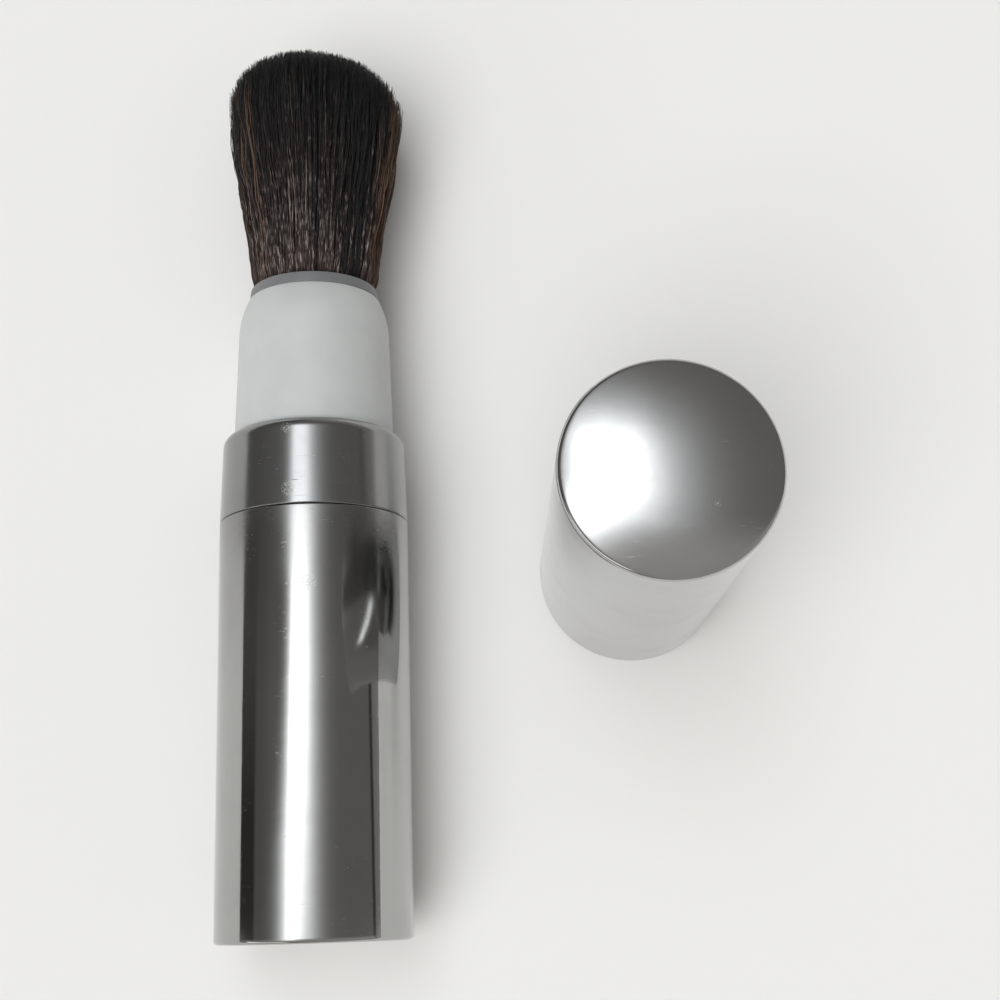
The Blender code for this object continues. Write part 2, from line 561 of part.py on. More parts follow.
def build_feed_tube(collection, tools, axis):
    """Bell over the shutter with two drive dogs, cone, spring flange and the tube up to the hair."""
    plastic = make_material("tube_plastic", (0.84, 0.85, 0.86), 0.0, 0.35)
    bell_bore = BELL_RADIUS - BELL_WALL
    profile = [(TUBE_BORE_RADIUS, TUBE_TOP),
               (TUBE_RADIUS, TUBE_TOP),
               (TUBE_RADIUS, TUBE_FLANGE_TOP),
               (TUBE_FLANGE_RADIUS, TUBE_FLANGE_TOP),
               (TUBE_FLANGE_RADIUS, TUBE_FLANGE_BOTTOM),
               (TUBE_RADIUS, TUBE_FLANGE_BOTTOM),
               (TUBE_RADIUS, CONE_TOP),
               (BELL_RADIUS, CONE_BOTTOM),
               (BELL_RADIUS, BELL_BOTTOM),
               (bell_bore, BELL_BOTTOM),
               (bell_bore, CONE_BOTTOM),
               (TUBE_BORE_RADIUS, CONE_TOP)]
    tube = make_turned("feed_tube", profile, True, SMALL_SIDES, plastic, collection, axis)
    margin = BELL_WALL / 8
    dogs = ring_of_blocks("drive_dogs", [0, math.pi], bell_bore + margin, BELL_RADIUS - margin,
                          DOG_WIDTH, SHUTTER_BOTTOM + SEAT_GAP, BELL_BOTTOM + BELL_WALL, tools, axis)
    combine(tube, dogs, "UNION")
    shade_rounds(tube)


def build_tube_seal(collection, axis):
    """Rubber ring round the tube, in the hub's recess."""
    rubber = make_material("seal_rubber", (0.06, 0.06, 0.065), 0.0, 0.60)
    bpy.ops.mesh.primitive_torus_add(major_radius=TUBE_RADIUS + SEAT_GAP + SEAL_RADIUS,
                                     minor_radius=SEAL_RADIUS, major_segments=SMALL_SIDES,
                                     minor_segments=SEAL_SIDES,
                                     location=(0, 0, SEAL_RECESS_BOTTOM + SEAT_GAP + SEAL_RADIUS))
    finish_seal("tube_seal", rubber, collection, axis)


def build_valve_spring(collection, axis):
    """Helix of round wire between the shutter and the tube's flange."""
    steel = make_material("spring_steel", (0.62, 0.63, 0.65), 1.0, 0.25)
    low = SHUTTER_TOP + SEAT_GAP + SPRING_WIRE / 2
    high = TUBE_FLANGE_BOTTOM - SEAT_GAP - SPRING_WIRE / 2
    count = SPRING_TURNS * SPRING_POINTS_PER_TURN
    curve = bpy.data.curves.new("valve_spring", "CURVE")
    curve.dimensions = "3D"
    curve.bevel_depth = SPRING_WIRE / 2
    curve.bevel_resolution = 1
    curve.use_fill_caps = True
    wire = curve.splines.new("POLY")
    wire.points.add(count)
    for index, point in enumerate(wire.points):
        turn = index / SPRING_POINTS_PER_TURN
        angle = turn * math.tau
        height = low + (high - low) * turn / SPRING_TURNS
        point.co = (SPRING_RADIUS * math.cos(angle), SPRING_RADIUS * math.sin(angle), height, 1)
    curve.materials.append(steel)
    place(bpy.data.objects.new("valve_spring", curve), collection, axis)


def build_brush_sleeve(collection, axis):
    """Frosted sleeve: foot under the collar's lip, slight draft, and a long rounded shoulder."""
    plastic = make_material("frosted_plastic", (0.76, 0.77, 0.79), 0.0, 0.45)
    shoulder = SLEEVE_TOP - SLEEVE_SHOULDER_RADIUS * math.sin(SLEEVE_SHOULDER_ANGLE)
    shoulder_centre = SLEEVE_RADIUS - SLEEVE_DRAFT - SLEEVE_SHOULDER_RADIUS
    inner_size = SLEEVE_SHOULDER_RADIUS - SLEEVE_WALL
    hole_radius = FERRULE_RADIUS + SEAT_GAP
    hole_angle = math.degrees(math.acos((hole_radius - shoulder_centre) / inner_size))
    foot_top = SLEEVE_BOTTOM + SLEEVE_FOOT_THICKNESS
    foot_radius = collar_inner_radius(foot_top) - SEAT_GAP
    rim_angle = math.degrees(SLEEVE_SHOULDER_ANGLE)
    profile = [(hole_radius, SLEEVE_TOP)]
    profile += arc(shoulder_centre, shoulder, SLEEVE_SHOULDER_RADIUS, rim_angle, 0, 5)
    profile += [(SLEEVE_RADIUS, COLLAR_TOP),
                (SLEEVE_RADIUS, foot_top),
                (foot_radius, foot_top),
                (foot_radius, SLEEVE_BOTTOM),
                (SLEEVE_RADIUS - SLEEVE_WALL, SLEEVE_BOTTOM)]
    profile += arc(shoulder_centre, shoulder, inner_size, 0, hole_angle, 2)
    shade_rounds(make_turned("brush_sleeve", profile, True, SHOWN_SIDES, plastic, collection, axis))


def build_ferrule_ring(collection, axis):
    """Grey ring whose slanted band shows, with a tube and a ledge that hold the glue plug."""
    plastic = make_material("ferrule_grey", (0.19, 0.19, 0.20), 0.0, 0.45)
    ledge_radius = FERRULE_RADIUS - FERRULE_LEDGE_WIDTH
    ledge_top = FERRULE_BOTTOM + FERRULE_LEDGE_THICKNESS
    profile = [(FERRULE_BORE_RADIUS, RING_TOP),
               (RING_TOP_RADIUS, RING_TOP),
               (RING_FOOT_RADIUS, RING_BOTTOM),
               (FERRULE_RADIUS, RING_BOTTOM),
               (FERRULE_RADIUS, FERRULE_BOTTOM),
               (ledge_radius, FERRULE_BOTTOM),
               (ledge_radius, ledge_top),
               (FERRULE_BORE_RADIUS, ledge_top)]
    shade_rounds(make_turned("ferrule_ring", profile, True, SHOWN_SIDES, plastic, collection, axis))


def strand_sections(ring, chance):
    """Three sections of a strand, as (radius from the axis, height, strand radius)."""
    share = ring / (STRAND_RINGS - 1)
    root_inner = TUBE_RADIUS + SEAT_GAP + ROOT_MARGIN + ROOT_STRAND_RADIUS
    root_outer = GLUE_RADIUS - ROOT_MARGIN - ROOT_STRAND_RADIUS
    root = root_inner + (root_outer - root_inner) * share
    tip = (FLARE_RADIUS - BODY_STRAND_RADIUS) * (ring + 0.5) / (STRAND_RINGS - 0.5)
    dome = DOME_HEIGHT * math.sqrt(1 - (tip / FLARE_RADIUS) ** 2)
    top = BRISTLE_TIP - DOME_HEIGHT + dome - chance.random() * TIP_SCATTER
    low = GLUE_TOP - SEAT_GAP
    flare = low + (top - low) * FLARE_HEIGHT_SHARE
    spread = root + (tip - root) * FLARE_RADIUS_SHARE
    return [(root, low, ROOT_STRAND_RADIUS), (spread, flare, BODY_STRAND_RADIUS),
            (tip, top, TIP_STRAND_RADIUS)]


def add_strand(bm, sections, angle):
    """Lofts one tapered strand through its sections and closes both of its ends."""
    outwards = Vector((math.cos(angle), math.sin(angle), 0))
    sideways = Vector((-math.sin(angle), math.cos(angle), 0))
    loops = []
    for distance, height, size in sections:
        centre = outwards * distance + Vector((0, 0, height))
        loop = []
        for side in range(STRAND_SIDES):
            turn = side * math.tau / STRAND_SIDES
            loop.append(bm.verts.new(centre + outwards * size * math.cos(turn)
                                     + sideways * size * math.sin(turn)))
        loops.append(loop)
    for lower, upper in zip(loops, loops[1:]):
        for side in range(STRAND_SIDES):
            after = (side + 1) % STRAND_SIDES
            bm.faces.new((lower[side], lower[after], upper[after], upper[side]))
    bm.faces.new(list(reversed(loops[0])))
    bm.faces.new(loops[-1])


def build_bristle_bundle(collection, tools, axis):
    """Rings of strands that spread from the glue plug to a domed tip, fused to a slice of the plug."""
    hair = make_material("bristle_hair", (0.055, 0.035, 0.028), 0.0, 0.55)
    inner = TUBE_RADIUS + SEAT_GAP
    profile = [(inner, GLUE_TOP), (GLUE_RADIUS, GLUE_TOP), (GLUE_RADIUS, GLUE_BOTTOM), (inner, GLUE_BOTTOM)]
    bundle = make_turned("bristle_bundle", profile, True, INNER_SIDES, hair, collection, axis)
    chance = random.Random(5)
    bm = bmesh.new()
    for ring in range(STRAND_RINGS):
        count = round(STRANDS_PER_RING * (ring + 0.5))
        for index in range(count):
            angle = (index + ring / 2) * math.tau / count
            add_strand(bm, strand_sections(ring, chance), angle)
    strands = make_tool("strands", bm, tools, axis)
    combine(bundle, strands, "UNION")
    shade_rounds(bundle)


# Cap

def build_cap_shell(collection, axis):
    """Drawn metal cap with a shallow domed top and a tight edge, open at its rim."""
    metal = make_material("cap_metal", (0.80, 0.80, 0.80), 1.0, 0.10)
    flat_radius = BODY_RADIUS - CAP_EDGE_RADIUS
    edge = CAP_HEIGHT - CAP_DOME_RISE - CAP_EDGE_RADIUS
    shares = [step / DOME_STEPS for step in range(DOME_STEPS)]
    dome = [(flat_radius * share, CAP_HEIGHT - CAP_DOME_RISE * share ** 2) for share in shares]
    inner_size = CAP_EDGE_RADIUS - CAP_WALL
    inner_dome = [(radius, height - CAP_WALL) for radius, height in reversed(dome)]
    profile = dome
    profile += arc(flat_radius, edge, CAP_EDGE_RADIUS, 90, 0, 3)
    profile += [(BODY_RADIUS, CAP_RIM_CHAMFER), (BODY_RADIUS - CAP_RIM_CHAMFER, 0),
                (BODY_RADIUS - CAP_WALL, 0)]
    profile += arc(flat_radius, edge, inner_size, 0, 90, 1)
    profile += inner_dome
    shade_rounds(make_turned("cap_shell", profile, False, SHOWN_SIDES, metal, collection, axis))


def build_cap_liner(collection, axis):
    """Moulded tube glued in the cap, with a grip bead near its mouth."""
    plastic = make_material("liner_plastic", (0.82, 0.83, 0.84), 0.0, 0.40)
    outer = BODY_RADIUS - CAP_WALL - SEAT_GAP
    inner = outer - LINER_WALL
    top = LINER_DROP + LINER_LENGTH
    bead = LINER_DROP + GRIP_BEAD_RISE
    profile = [(inner, top), (outer, top), (outer, LINER_DROP), (inner, LINER_DROP),
               (inner, bead - GRIP_BEAD_LENGTH / 2),
               (inner - GRIP_BEAD_REACH, bead),
               (inner, bead + GRIP_BEAD_LENGTH / 2)]
    shade_rounds(make_turned("cap_liner", profile, True, INNER_SIDES, plastic, collection, axis))


def main():
    for old in list(bpy.data.objects):
        bpy.data.objects.remove(old, do_unlink=True)
    parts = make_collection("powder_brush")
    tools = make_collection("powder_brush_tools")
    along_y = (-math.pi / 2, 0, 0)
    barrel = make_axis("barrel_axis", parts, turn=along_y)
    valve = make_axis("head_pull_axis", parts, parent=barrel)
    head = make_axis("collar_turn_axis", parts, parent=valve)
    cap = make_axis("cap_axis", parts, location=(CAP_PLACE_X, CAP_PLACE_Y, -BODY_RADIUS))

    build_barrel_shell(parts, barrel)
    build_base_weight(parts, barrel)
    build_powder_bottle(parts, barrel)

    build_neck_ring(parts, tools, valve)
    build_neck_o_ring(parts, valve)
    build_sifter_plate(parts, tools, valve)
    build_sifter_gasket(parts, valve)
    build_bearing_washer(parts, valve)

    build_twist_collar(parts, head)
    build_collar_carrier(parts, tools, head)
    build_shutter_disc(parts, tools, head)
    build_feed_tube(parts, tools, head)
    build_tube_seal(parts, head)
    build_valve_spring(parts, head)
    build_brush_sleeve(parts, head)
    build_ferrule_ring(parts, head)
    build_bristle_bundle(parts, tools, head)

    build_cap_shell(parts, cap)
    build_cap_liner(parts, cap)


main()
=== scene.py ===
# Looks of a refillable powder brush lying on its side, with its cap stood beside it.
# The brush points along +Y from the middle of its base at the origin. Lengths are in metres.

import json
import math

import bmesh
import bpy
import numpy as np
from mathutils import Matrix, Vector


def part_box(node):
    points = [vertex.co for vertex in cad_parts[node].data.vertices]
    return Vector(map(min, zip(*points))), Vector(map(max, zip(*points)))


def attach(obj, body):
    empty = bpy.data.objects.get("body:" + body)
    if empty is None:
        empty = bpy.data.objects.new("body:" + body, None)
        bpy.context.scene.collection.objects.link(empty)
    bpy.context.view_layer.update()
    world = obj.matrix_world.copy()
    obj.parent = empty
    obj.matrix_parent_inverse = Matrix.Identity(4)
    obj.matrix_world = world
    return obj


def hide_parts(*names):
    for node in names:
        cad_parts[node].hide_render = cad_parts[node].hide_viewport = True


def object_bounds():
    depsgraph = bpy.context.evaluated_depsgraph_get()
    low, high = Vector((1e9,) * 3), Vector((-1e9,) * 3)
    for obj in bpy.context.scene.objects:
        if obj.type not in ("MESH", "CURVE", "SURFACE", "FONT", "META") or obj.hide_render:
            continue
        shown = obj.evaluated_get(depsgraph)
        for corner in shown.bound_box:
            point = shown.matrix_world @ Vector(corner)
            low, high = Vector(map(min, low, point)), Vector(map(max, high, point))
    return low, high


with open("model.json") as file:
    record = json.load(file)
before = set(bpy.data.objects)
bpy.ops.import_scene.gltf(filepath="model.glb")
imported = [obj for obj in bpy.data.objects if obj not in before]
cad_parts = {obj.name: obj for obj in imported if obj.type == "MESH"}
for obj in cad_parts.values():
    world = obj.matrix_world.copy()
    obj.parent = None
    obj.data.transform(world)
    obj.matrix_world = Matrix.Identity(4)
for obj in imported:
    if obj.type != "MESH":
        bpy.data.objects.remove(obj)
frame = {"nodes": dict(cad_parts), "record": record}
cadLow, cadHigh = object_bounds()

mm = 0.001
golden = math.pi * (3 - math.sqrt(5))
nodes = frame["nodes"]


# Outlines of turned pieces, as rows of (radius, height, corner radius)

def bend(centreRadius, centreHeight, size, begin, end, steps):
    # A round stretch: the centre plus size times (cosine, sine) of an angle that runs from begin to end
    angle = np.radians(np.linspace(begin, end, steps + 1))
    return [(centreRadius + size * math.cos(a), centreHeight + size * math.sin(a), 0) for a in angle]


def softened(rows, closed, guard=0.5, arcStep=11):
    # Each corner is cut back along both sides by its radius times the tangent of half its turn, and an
    # arc tangent to both sides joins the cuts. Guard points keep the long sides' normals straight.
    points = []
    count = len(rows)
    for index, (radius, height, size) in enumerate(rows):
        here = np.array((radius, height))
        isEnd = not closed and index in (0, count - 1)
        if size == 0 or isEnd:
            points.append(here)
            continue
        before = np.array(rows[index - 1][:2]) - here
        after = np.array(rows[(index + 1) % count][:2]) - here
        beforeLength, afterLength = np.linalg.norm(before), np.linalg.norm(after)
        before, after = before / beforeLength, after / afterLength
        turn = math.pi - math.acos(float(np.clip(before @ after, -1, 1)))
        cut = size * math.tan(turn / 2)
        middle = before + after
        centre = here + middle / np.linalg.norm(middle) * size / math.cos(turn / 2)
        first, last = here + before * cut - centre, here + after * cut - centre
        steps = max(3, round(math.degrees(turn) / arcStep))
        share = np.linspace(0, 1, steps + 1)[:, None]
        arc = (first * np.sin((1 - share) * turn) + last * np.sin(share * turn)) / math.sin(turn)
        reach = cut + guard * size
        if reach < 0.45 * beforeLength:
            points.append(here + before * reach)
        points.extend(centre + arc)
        if reach < 0.45 * afterLength:
            points.append(here + after * reach)
    return np.array(points)


# Meshes

def meshOf(name, points, faces):
    # faces is a list of arrays, each with one column for each corner of its faces
    corners = np.concatenate([part.ravel() for part in faces]).astype(np.int32)
    sizes = np.concatenate([np.full(len(part), part.shape[1]) for part in faces])
    starts = np.concatenate(([0], np.cumsum(sizes)[:-1])).astype(np.int32)
    mesh = bpy.data.meshes.new(name)
    mesh.vertices.add(len(points))
    mesh.vertices.foreach_set("co", np.asarray(points, np.float32).ravel())
    mesh.loops.add(len(corners))
    mesh.loops.foreach_set("vertex_index", corners)
    mesh.polygons.add(len(sizes))
    mesh.polygons.foreach_set("loop_start", starts)
    mesh.update(calc_edges=True)
    mesh.validate()
    mesh.shade_smooth()
    return mesh


def addPiece(name, mesh, material, body, slot, *replaced):
    piece = bpy.data.objects.new(name, mesh)
    bpy.context.scene.collection.objects.link(piece)
    mesh.materials.append(material)
    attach(piece, body)
    if replaced:
        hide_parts(*replaced)


def alongBrush(radius, angle, height):
    # Round the brush's own axis, with height along +Y
    return np.stack((radius * np.cos(angle), height + 0 * angle, -radius * np.sin(angle)), axis=-1)


def turnedMesh(name, outline, sides, closed, place):
    # A surface of revolution: every outline point is carried once round the axis, and a point on the
    # axis stays one vertex. Outlines run up the outer side, so the faces point outwards.
    radius, height = outline.T
    onAxis = radius < 1e-9
    angle = np.arange(sides) * math.tau / sides
    grid = place(radius[:, None], angle[None, :], height[:, None])
    kept = ~onAxis[:, None] | (np.arange(sides) == 0)
    starts = np.concatenate(([0], np.cumsum(kept.sum(1))[:-1]))
    index = starts[:, None] + np.where(onAxis[:, None], 0, np.arange(sides))
    lower, upper = (index, np.roll(index, -1, 0)) if closed else (index[:-1], index[1:])
    quads = np.stack((lower, np.roll(lower, -1, 1), np.roll(upper, -1, 1), upper), axis=-1)
    lowTip = quads[:, 0, 0] == quads[:, 1, 0]
    highTip = quads[:, 0, 3] == quads[:, 1, 3]
    plain = quads[~lowTip & ~highTip].reshape(-1, 4)
    faces = [plain, quads[lowTip][:, :, [0, 2, 3]].reshape(-1, 3), quads[highTip][:, :, :3].reshape(-1, 3)]
    return meshOf(name, grid[kept], [part for part in faces if len(part)])


# Material building blocks

def newMaterial(name, colour, metallic, roughness):
    material = bpy.data.materials.new(name)
    material.use_nodes = True
    shader = material.node_tree.nodes["Principled BSDF"]
    shader.inputs["Base Color"].default_value = (*colour, 1)
    shader.inputs["Metallic"].default_value = metallic
    shader.inputs["Roughness"].default_value = roughness
    return material, material.node_tree, shader


def feed(tree, socket, value):
    if isinstance(value, bpy.types.NodeSocket):
        tree.links.new(value, socket)
    else:
        socket.default_value = value


def calculate(tree, operation, first, second=0.0, third=0.0):
    node = tree.nodes.new("ShaderNodeMath")
    node.operation = operation
    for socket, value in zip(node.inputs, (first, second, third)):
        feed(tree, socket, value)
    return node.outputs[0]


def product(tree, first, *others):
    for value in others:
        first = calculate(tree, "MULTIPLY", first, value)
    return first


def spread(tree, value, fromLow, fromHigh, toLow=0.0, toHigh=1.0, smooth=False):
    node = tree.nodes.new("ShaderNodeMapRange")
    node.interpolation_type = "SMOOTHSTEP" if smooth else "LINEAR"
    feed(tree, node.inputs["Value"], value)
    for socket, number in zip(("From Min", "From Max", "To Min", "To Max"),
                              (fromLow, fromHigh, toLow, toHigh)):
        feed(tree, node.inputs[socket], number)
    return node.outputs["Result"]


def inMillimetres(tree, stretch=(1, 1, 1), turn=(0, 0, 0)):
    # Object coordinates in millimetres, turned and stretched along the axes
    place = tree.nodes.new("ShaderNodeTexCoord")
    mapping = tree.nodes.new("ShaderNodeMapping")
    tree.links.new(place.outputs["Object"], mapping.inputs["Vector"])
    mapping.inputs["Rotation"].default_value = [math.radians(a) for a in turn]
    mapping.inputs["Scale"].default_value = [s / mm for s in stretch]
    return mapping.outputs["Vector"]


def noise(tree, vector, scale, detail=2.0, roughness=0.5):
    node = tree.nodes.new("ShaderNodeTexNoise")
    tree.links.new(vector, node.inputs["Vector"])
    node.inputs["Scale"].default_value = scale
    node.inputs["Detail"].default_value = detail
    node.inputs["Roughness"].default_value = roughness
    return node.outputs["Fac"]


def blendColours(tree, share, low, high):
    node = tree.nodes.new("ShaderNodeMix")
    node.data_type = "RGBA"
    feed(tree, node.inputs["Factor"], share)
    feed(tree, node.inputs["A"], low if isinstance(low, bpy.types.NodeSocket) else (*low, 1))
    feed(tree, node.inputs["B"], high if isinstance(high, bpy.types.NodeSocket) else (*high, 1))
    return node.outputs["Result"]


def colourSteps(tree, value, stops):
    # A ramp through (place, colour) stops, where a colour may be one number
    node = tree.nodes.new("ShaderNodeValToRGB")
    tree.links.new(value, node.inputs["Fac"])
    elements = node.color_ramp.elements
    while len(elements) < len(stops):
        elements.new(0.5)
    for element, (place, colour) in zip(elements, stops):
        element.position = place
        element.color = (*(colour if isinstance(colour, tuple) else (colour,) * 3), 1)
    return node.outputs["Color"]


def addBump(tree, shader, height, depth):
    bump = tree.nodes.new("ShaderNodeBump")
    bump.inputs["Distance"].default_value = depth
    tree.links.new(height, bump.inputs["Height"])
    tree.links.new(bump.outputs["Normal"], shader.inputs["Normal"])


# Plated metal

# Lint is rows of x, y, z and reach. The stretch that grows darker and hazier is along Y. Both are in
# millimetres.
metalLook = {
    "barrel": {"colour": (0.44, 0.44, 0.435), "metallic": 1.0, "roughness": 0.055, "smudge": 0.05,
               "scratch": 0.20, "lint": ((0.4, 48.6, 14.0, 1.6),),
               "seamStretch": (36, 60), "dull": 0.25, "haze": 0.18},
    "collar": {"colour": (0.30, 0.30, 0.302), "metallic": 0.925, "roughness": 0.165, "smudge": 0.04,
               "scratch": 0.22, "lint": ((-2.6, 71.6, 13.3, 1.1), (-2.2, 62.4, 13.7, 1.3))},
    "cap": {"colour": (0.50, 0.50, 0.502), "metallic": 1.0, "roughness": 0.10, "smudge": 0.06,
            "scratch": 0.14, "lint": ((53.2, 49.4, 50.2, 0.5),)},
}
plate = {
    "smudgeScale": 0.14, "smudgeSpread": (0.45, 0.75), "smudgeShade": 0.93,
    "scratchTurns": ((12, 7, 64), (-20, 31, 118), (5, -15, 23)), "scratchStretch": (0.10, 3.4, 3.4),
    "scratchSpread": (0.70, 0.76), "scratchDepth": -0.4, "wornScale": 0.22, "wornSpread": (0.48, 0.66),
    "lintScale": 6.5, "lintSpread": (0.54, 0.62), "lintCore": 0.4, "lintColour": (0.80, 0.80, 0.78),
    "lintShare": 0.6, "lintRoughness": 0.5, "unevenScale": 0.35, "bump": 0.006 * mm,
}


def lintOn(tree, places):
    # Specks of lint: flecks of fine noise, only near each place and fainter towards its reach
    specks = spread(tree, noise(tree, inMillimetres(tree), plate["lintScale"]), *plate["lintSpread"])
    near = 0.0
    for x, y, z, reach in places:
        apart = tree.nodes.new("ShaderNodeVectorMath")
        apart.operation = "DISTANCE"
        tree.links.new(inMillimetres(tree), apart.inputs[0])
        apart.inputs[1].default_value = (x, y, z)
        close = spread(tree, apart.outputs["Value"], reach, plate["lintCore"] * reach)
        near = calculate(tree, "MAXIMUM", near, close)
    return product(tree, specks, near)


def platedMetal(name, look):
    # Chrome plate: broad smudges and thin handling scratches change its roughness, the plate is very
    # slightly uneven and a little lint clings to it. Along a given stretch of Y it grows darker and hazier.
    material, tree, shader = newMaterial(name, look["colour"], look["metallic"], look["roughness"])
    clouds = noise(tree, inMillimetres(tree), plate["smudgeScale"], 3.0, 0.6)
    smudge = spread(tree, clouds, *plate["smudgeSpread"])
    scratches = 0.0
    for turn in plate["scratchTurns"]:
        dashes = noise(tree, inMillimetres(tree, plate["scratchStretch"], turn), 1.0, 1.0)
        scratches = calculate(tree, "MAXIMUM", scratches, spread(tree, dashes, *plate["scratchSpread"]))
    worn = spread(tree, noise(tree, inMillimetres(tree), plate["wornScale"], 1.0), *plate["wornSpread"])
    scratches = product(tree, scratches, worn)
    lint = lintOn(tree, look["lint"])
    rough = calculate(tree, "MULTIPLY_ADD", smudge, look["smudge"], look["roughness"])
    rough = calculate(tree, "MULTIPLY_ADD", scratches, look["scratch"], rough)
    darker = tuple(plate["smudgeShade"] * c for c in look["colour"])
    colour = blendColours(tree, smudge, look["colour"], darker)
    # Darker and hazier along a stretch of Y, towards the barrel's end at the seam
    if "seamStretch" in look:
        height = tree.nodes.new("ShaderNodeSeparateXYZ")
        tree.links.new(inMillimetres(tree), height.inputs[0])
        seamStretch = spread(tree, height.outputs["Y"], *look["seamStretch"])
        rough = calculate(tree, "MULTIPLY_ADD", product(tree, seamStretch, seamStretch), look["haze"], rough)
        colour = blendColours(tree, product(tree, seamStretch, look["dull"]), colour, (0.0, 0.0, 0.0))
    rough = calculate(tree, "MULTIPLY_ADD", lint, plate["lintRoughness"], rough)
    tree.links.new(rough, shader.inputs["Roughness"])
    colour = blendColours(tree, product(tree, lint, plate["lintShare"]), colour, plate["lintColour"])
    tree.links.new(colour, shader.inputs["Base Color"])
    uneven = noise(tree, inMillimetres(tree), plate["unevenScale"], 1.0)
    surface = calculate(tree, "MULTIPLY_ADD", scratches, plate["scratchDepth"], uneven)
    addBump(tree, shader, surface, plate["bump"])
    return material


# Moulded plastic and rubber

plastic = {"cloudScale": 0.16, "colourSpread": (0.35, 0.65), "roughSpread": (0.3, 0.7), "smoother": 0.04,
           "rougher": 0.05, "grainScale": 9.0, "depthTint": (1.0, 0.95, 0.9), "depth": 1.5 * mm}
steel = {"ringStretch": (0.5, 14, 0.5), "ringSpread": (0.3, 0.7), "smoother": 0.08, "rougher": 0.1,
         "bump": 0.004 * mm}


def mouldedPlastic(name, colour, roughness, grain=0.004 * mm, cloud=0.06, milky=0.0):
    # Satin moulding: soft clouds of colour and a fine spark-eroded grain. A milky one lets light in.
    material, tree, shader = newMaterial(name, colour, 0.0, roughness)
    cloudy = noise(tree, inMillimetres(tree), plastic["cloudScale"], 3.0, 0.55)
    darker = tuple((1 - cloud) * c for c in colour)
    clouds = blendColours(tree, spread(tree, cloudy, *plastic["colourSpread"]), darker, colour)
    tree.links.new(clouds, shader.inputs["Base Color"])
    rough = spread(tree, cloudy, *plastic["roughSpread"],
                   roughness - plastic["smoother"], roughness + plastic["rougher"])
    tree.links.new(rough, shader.inputs["Roughness"])
    addBump(tree, shader, noise(tree, inMillimetres(tree), plastic["grainScale"]), grain)
    if milky:
        shader.inputs["Subsurface Weight"].default_value = milky
        shader.inputs["Subsurface Radius"].default_value = plastic["depthTint"]
        shader.inputs["Subsurface Scale"].default_value = plastic["depth"]
    return material


def wornSteel(name, colour, roughness):
    # Turned steel: fine rings round the brush's axis
    material, tree, shader = newMaterial(name, colour, 1.0, roughness)
    rings = noise(tree, inMillimetres(tree, steel["ringStretch"]), 1.0)
    rough = spread(tree, rings, *steel["ringSpread"],
                   roughness - steel["smoother"], roughness + steel["rougher"])
    tree.links.new(rough, shader.inputs["Roughness"])
    addBump(tree, shader, rings, steel["bump"])
    return material


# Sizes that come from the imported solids

barrelLow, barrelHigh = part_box("barrel_shell")
collarLow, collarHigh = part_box("twist_collar")
sleeveLow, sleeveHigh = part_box("brush_sleeve")
ringLow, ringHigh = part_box("ferrule_ring")
capLow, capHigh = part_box("cap_shell")
bodyRadius = (barrelHigh.x - barrelLow.x) / 2
capX, capY = (capLow.x + capHigh.x) / 2, (capLow.y + capHigh.y) / 2

barrelMetal = platedMetal("barrelMetal", metalLook["barrel"])
collarMetal = platedMetal("collarMetal", metalLook["collar"])
capMetal = platedMetal("capMetal", metalLook["cap"])
print("materials of the metal pieces are made")


# Barrel

barrel = {"wall": 0.8 * mm, "baseEdge": 0.5 * mm, "floorFillet": 0.3 * mm, "rimEdge": 0.12 * mm,
          "sides": 192}


def makeBarrel():
    inner = bodyRadius - barrel["wall"]
    length = barrelHigh.y
    rows = [(0, 0, 0), (bodyRadius, 0, barrel["baseEdge"]), (bodyRadius, length, barrel["rimEdge"]),
            (inner, length, barrel["rimEdge"]), (inner, barrel["wall"], barrel["floorFillet"]),
            (0, barrel["wall"], 0)]
    mesh = turnedMesh("barrel_skin", softened(rows, False), barrel["sides"], False, alongBrush)
    addPiece("barrel_skin", mesh, barrelMetal, "barrel", "mirror_metal", "barrel_shell")


# Twist collar

collar = {"taper": 0.35 * mm, "height": 13.0 * mm, "shoulder": 1.8 * mm, "wall": 0.8 * mm,
          "footEdge": 0.2 * mm, "footDrop": 0.28 * mm, "lipGap": 0.12 * mm, "lipEdge": 0.1 * mm,
          "outSteps": 16, "inSteps": 8, "sides": 192}


def makeCollar():
    low = collarLow.y - collar["footDrop"]
    turn = collarLow.y + collar["height"] - collar["shoulder"]
    topRadius = bodyRadius - collar["taper"]
    centre = topRadius - collar["shoulder"]
    inSize = collar["shoulder"] - collar["wall"]
    reach = sleeve["footRadius"] + collar["lipGap"] - centre
    outEnd = math.degrees(math.acos(reach / collar["shoulder"]))
    inEnd = math.degrees(math.acos(reach / inSize))
    rows = [(bodyRadius - collar["wall"], low, collar["lipEdge"]),
            (bodyRadius, low, collar["footEdge"])]
    rows += bend(centre, turn, collar["shoulder"], 0, outEnd, collar["outSteps"])
    rows += bend(centre, turn, inSize, inEnd, 0, collar["inSteps"])
    mesh = turnedMesh("collar_skin", softened(rows, True), collar["sides"], True, alongBrush)
    addPiece("collar_skin", mesh, collarMetal, "brush_head", "collar_metal", "twist_collar")


# Frosted sleeve

sleeve = {"footRadius": 12.0 * mm, "draft": 0.5 * mm, "shoulder": 13.0 * mm, "shoulderAngle": 27,
          "wall": 1.2 * mm, "rimEdge": 0.18 * mm, "hole": 9.77 * mm, "flange": 12.85 * mm,
          "flangeHeight": 2.0 * mm, "outSteps": 20, "inSteps": 8, "sides": 160,
          "colour": (0.585, 0.60, 0.60), "roughness": 0.46, "grain": 0.003 * mm, "cloud": 0.05,
          "milky": 0.35}


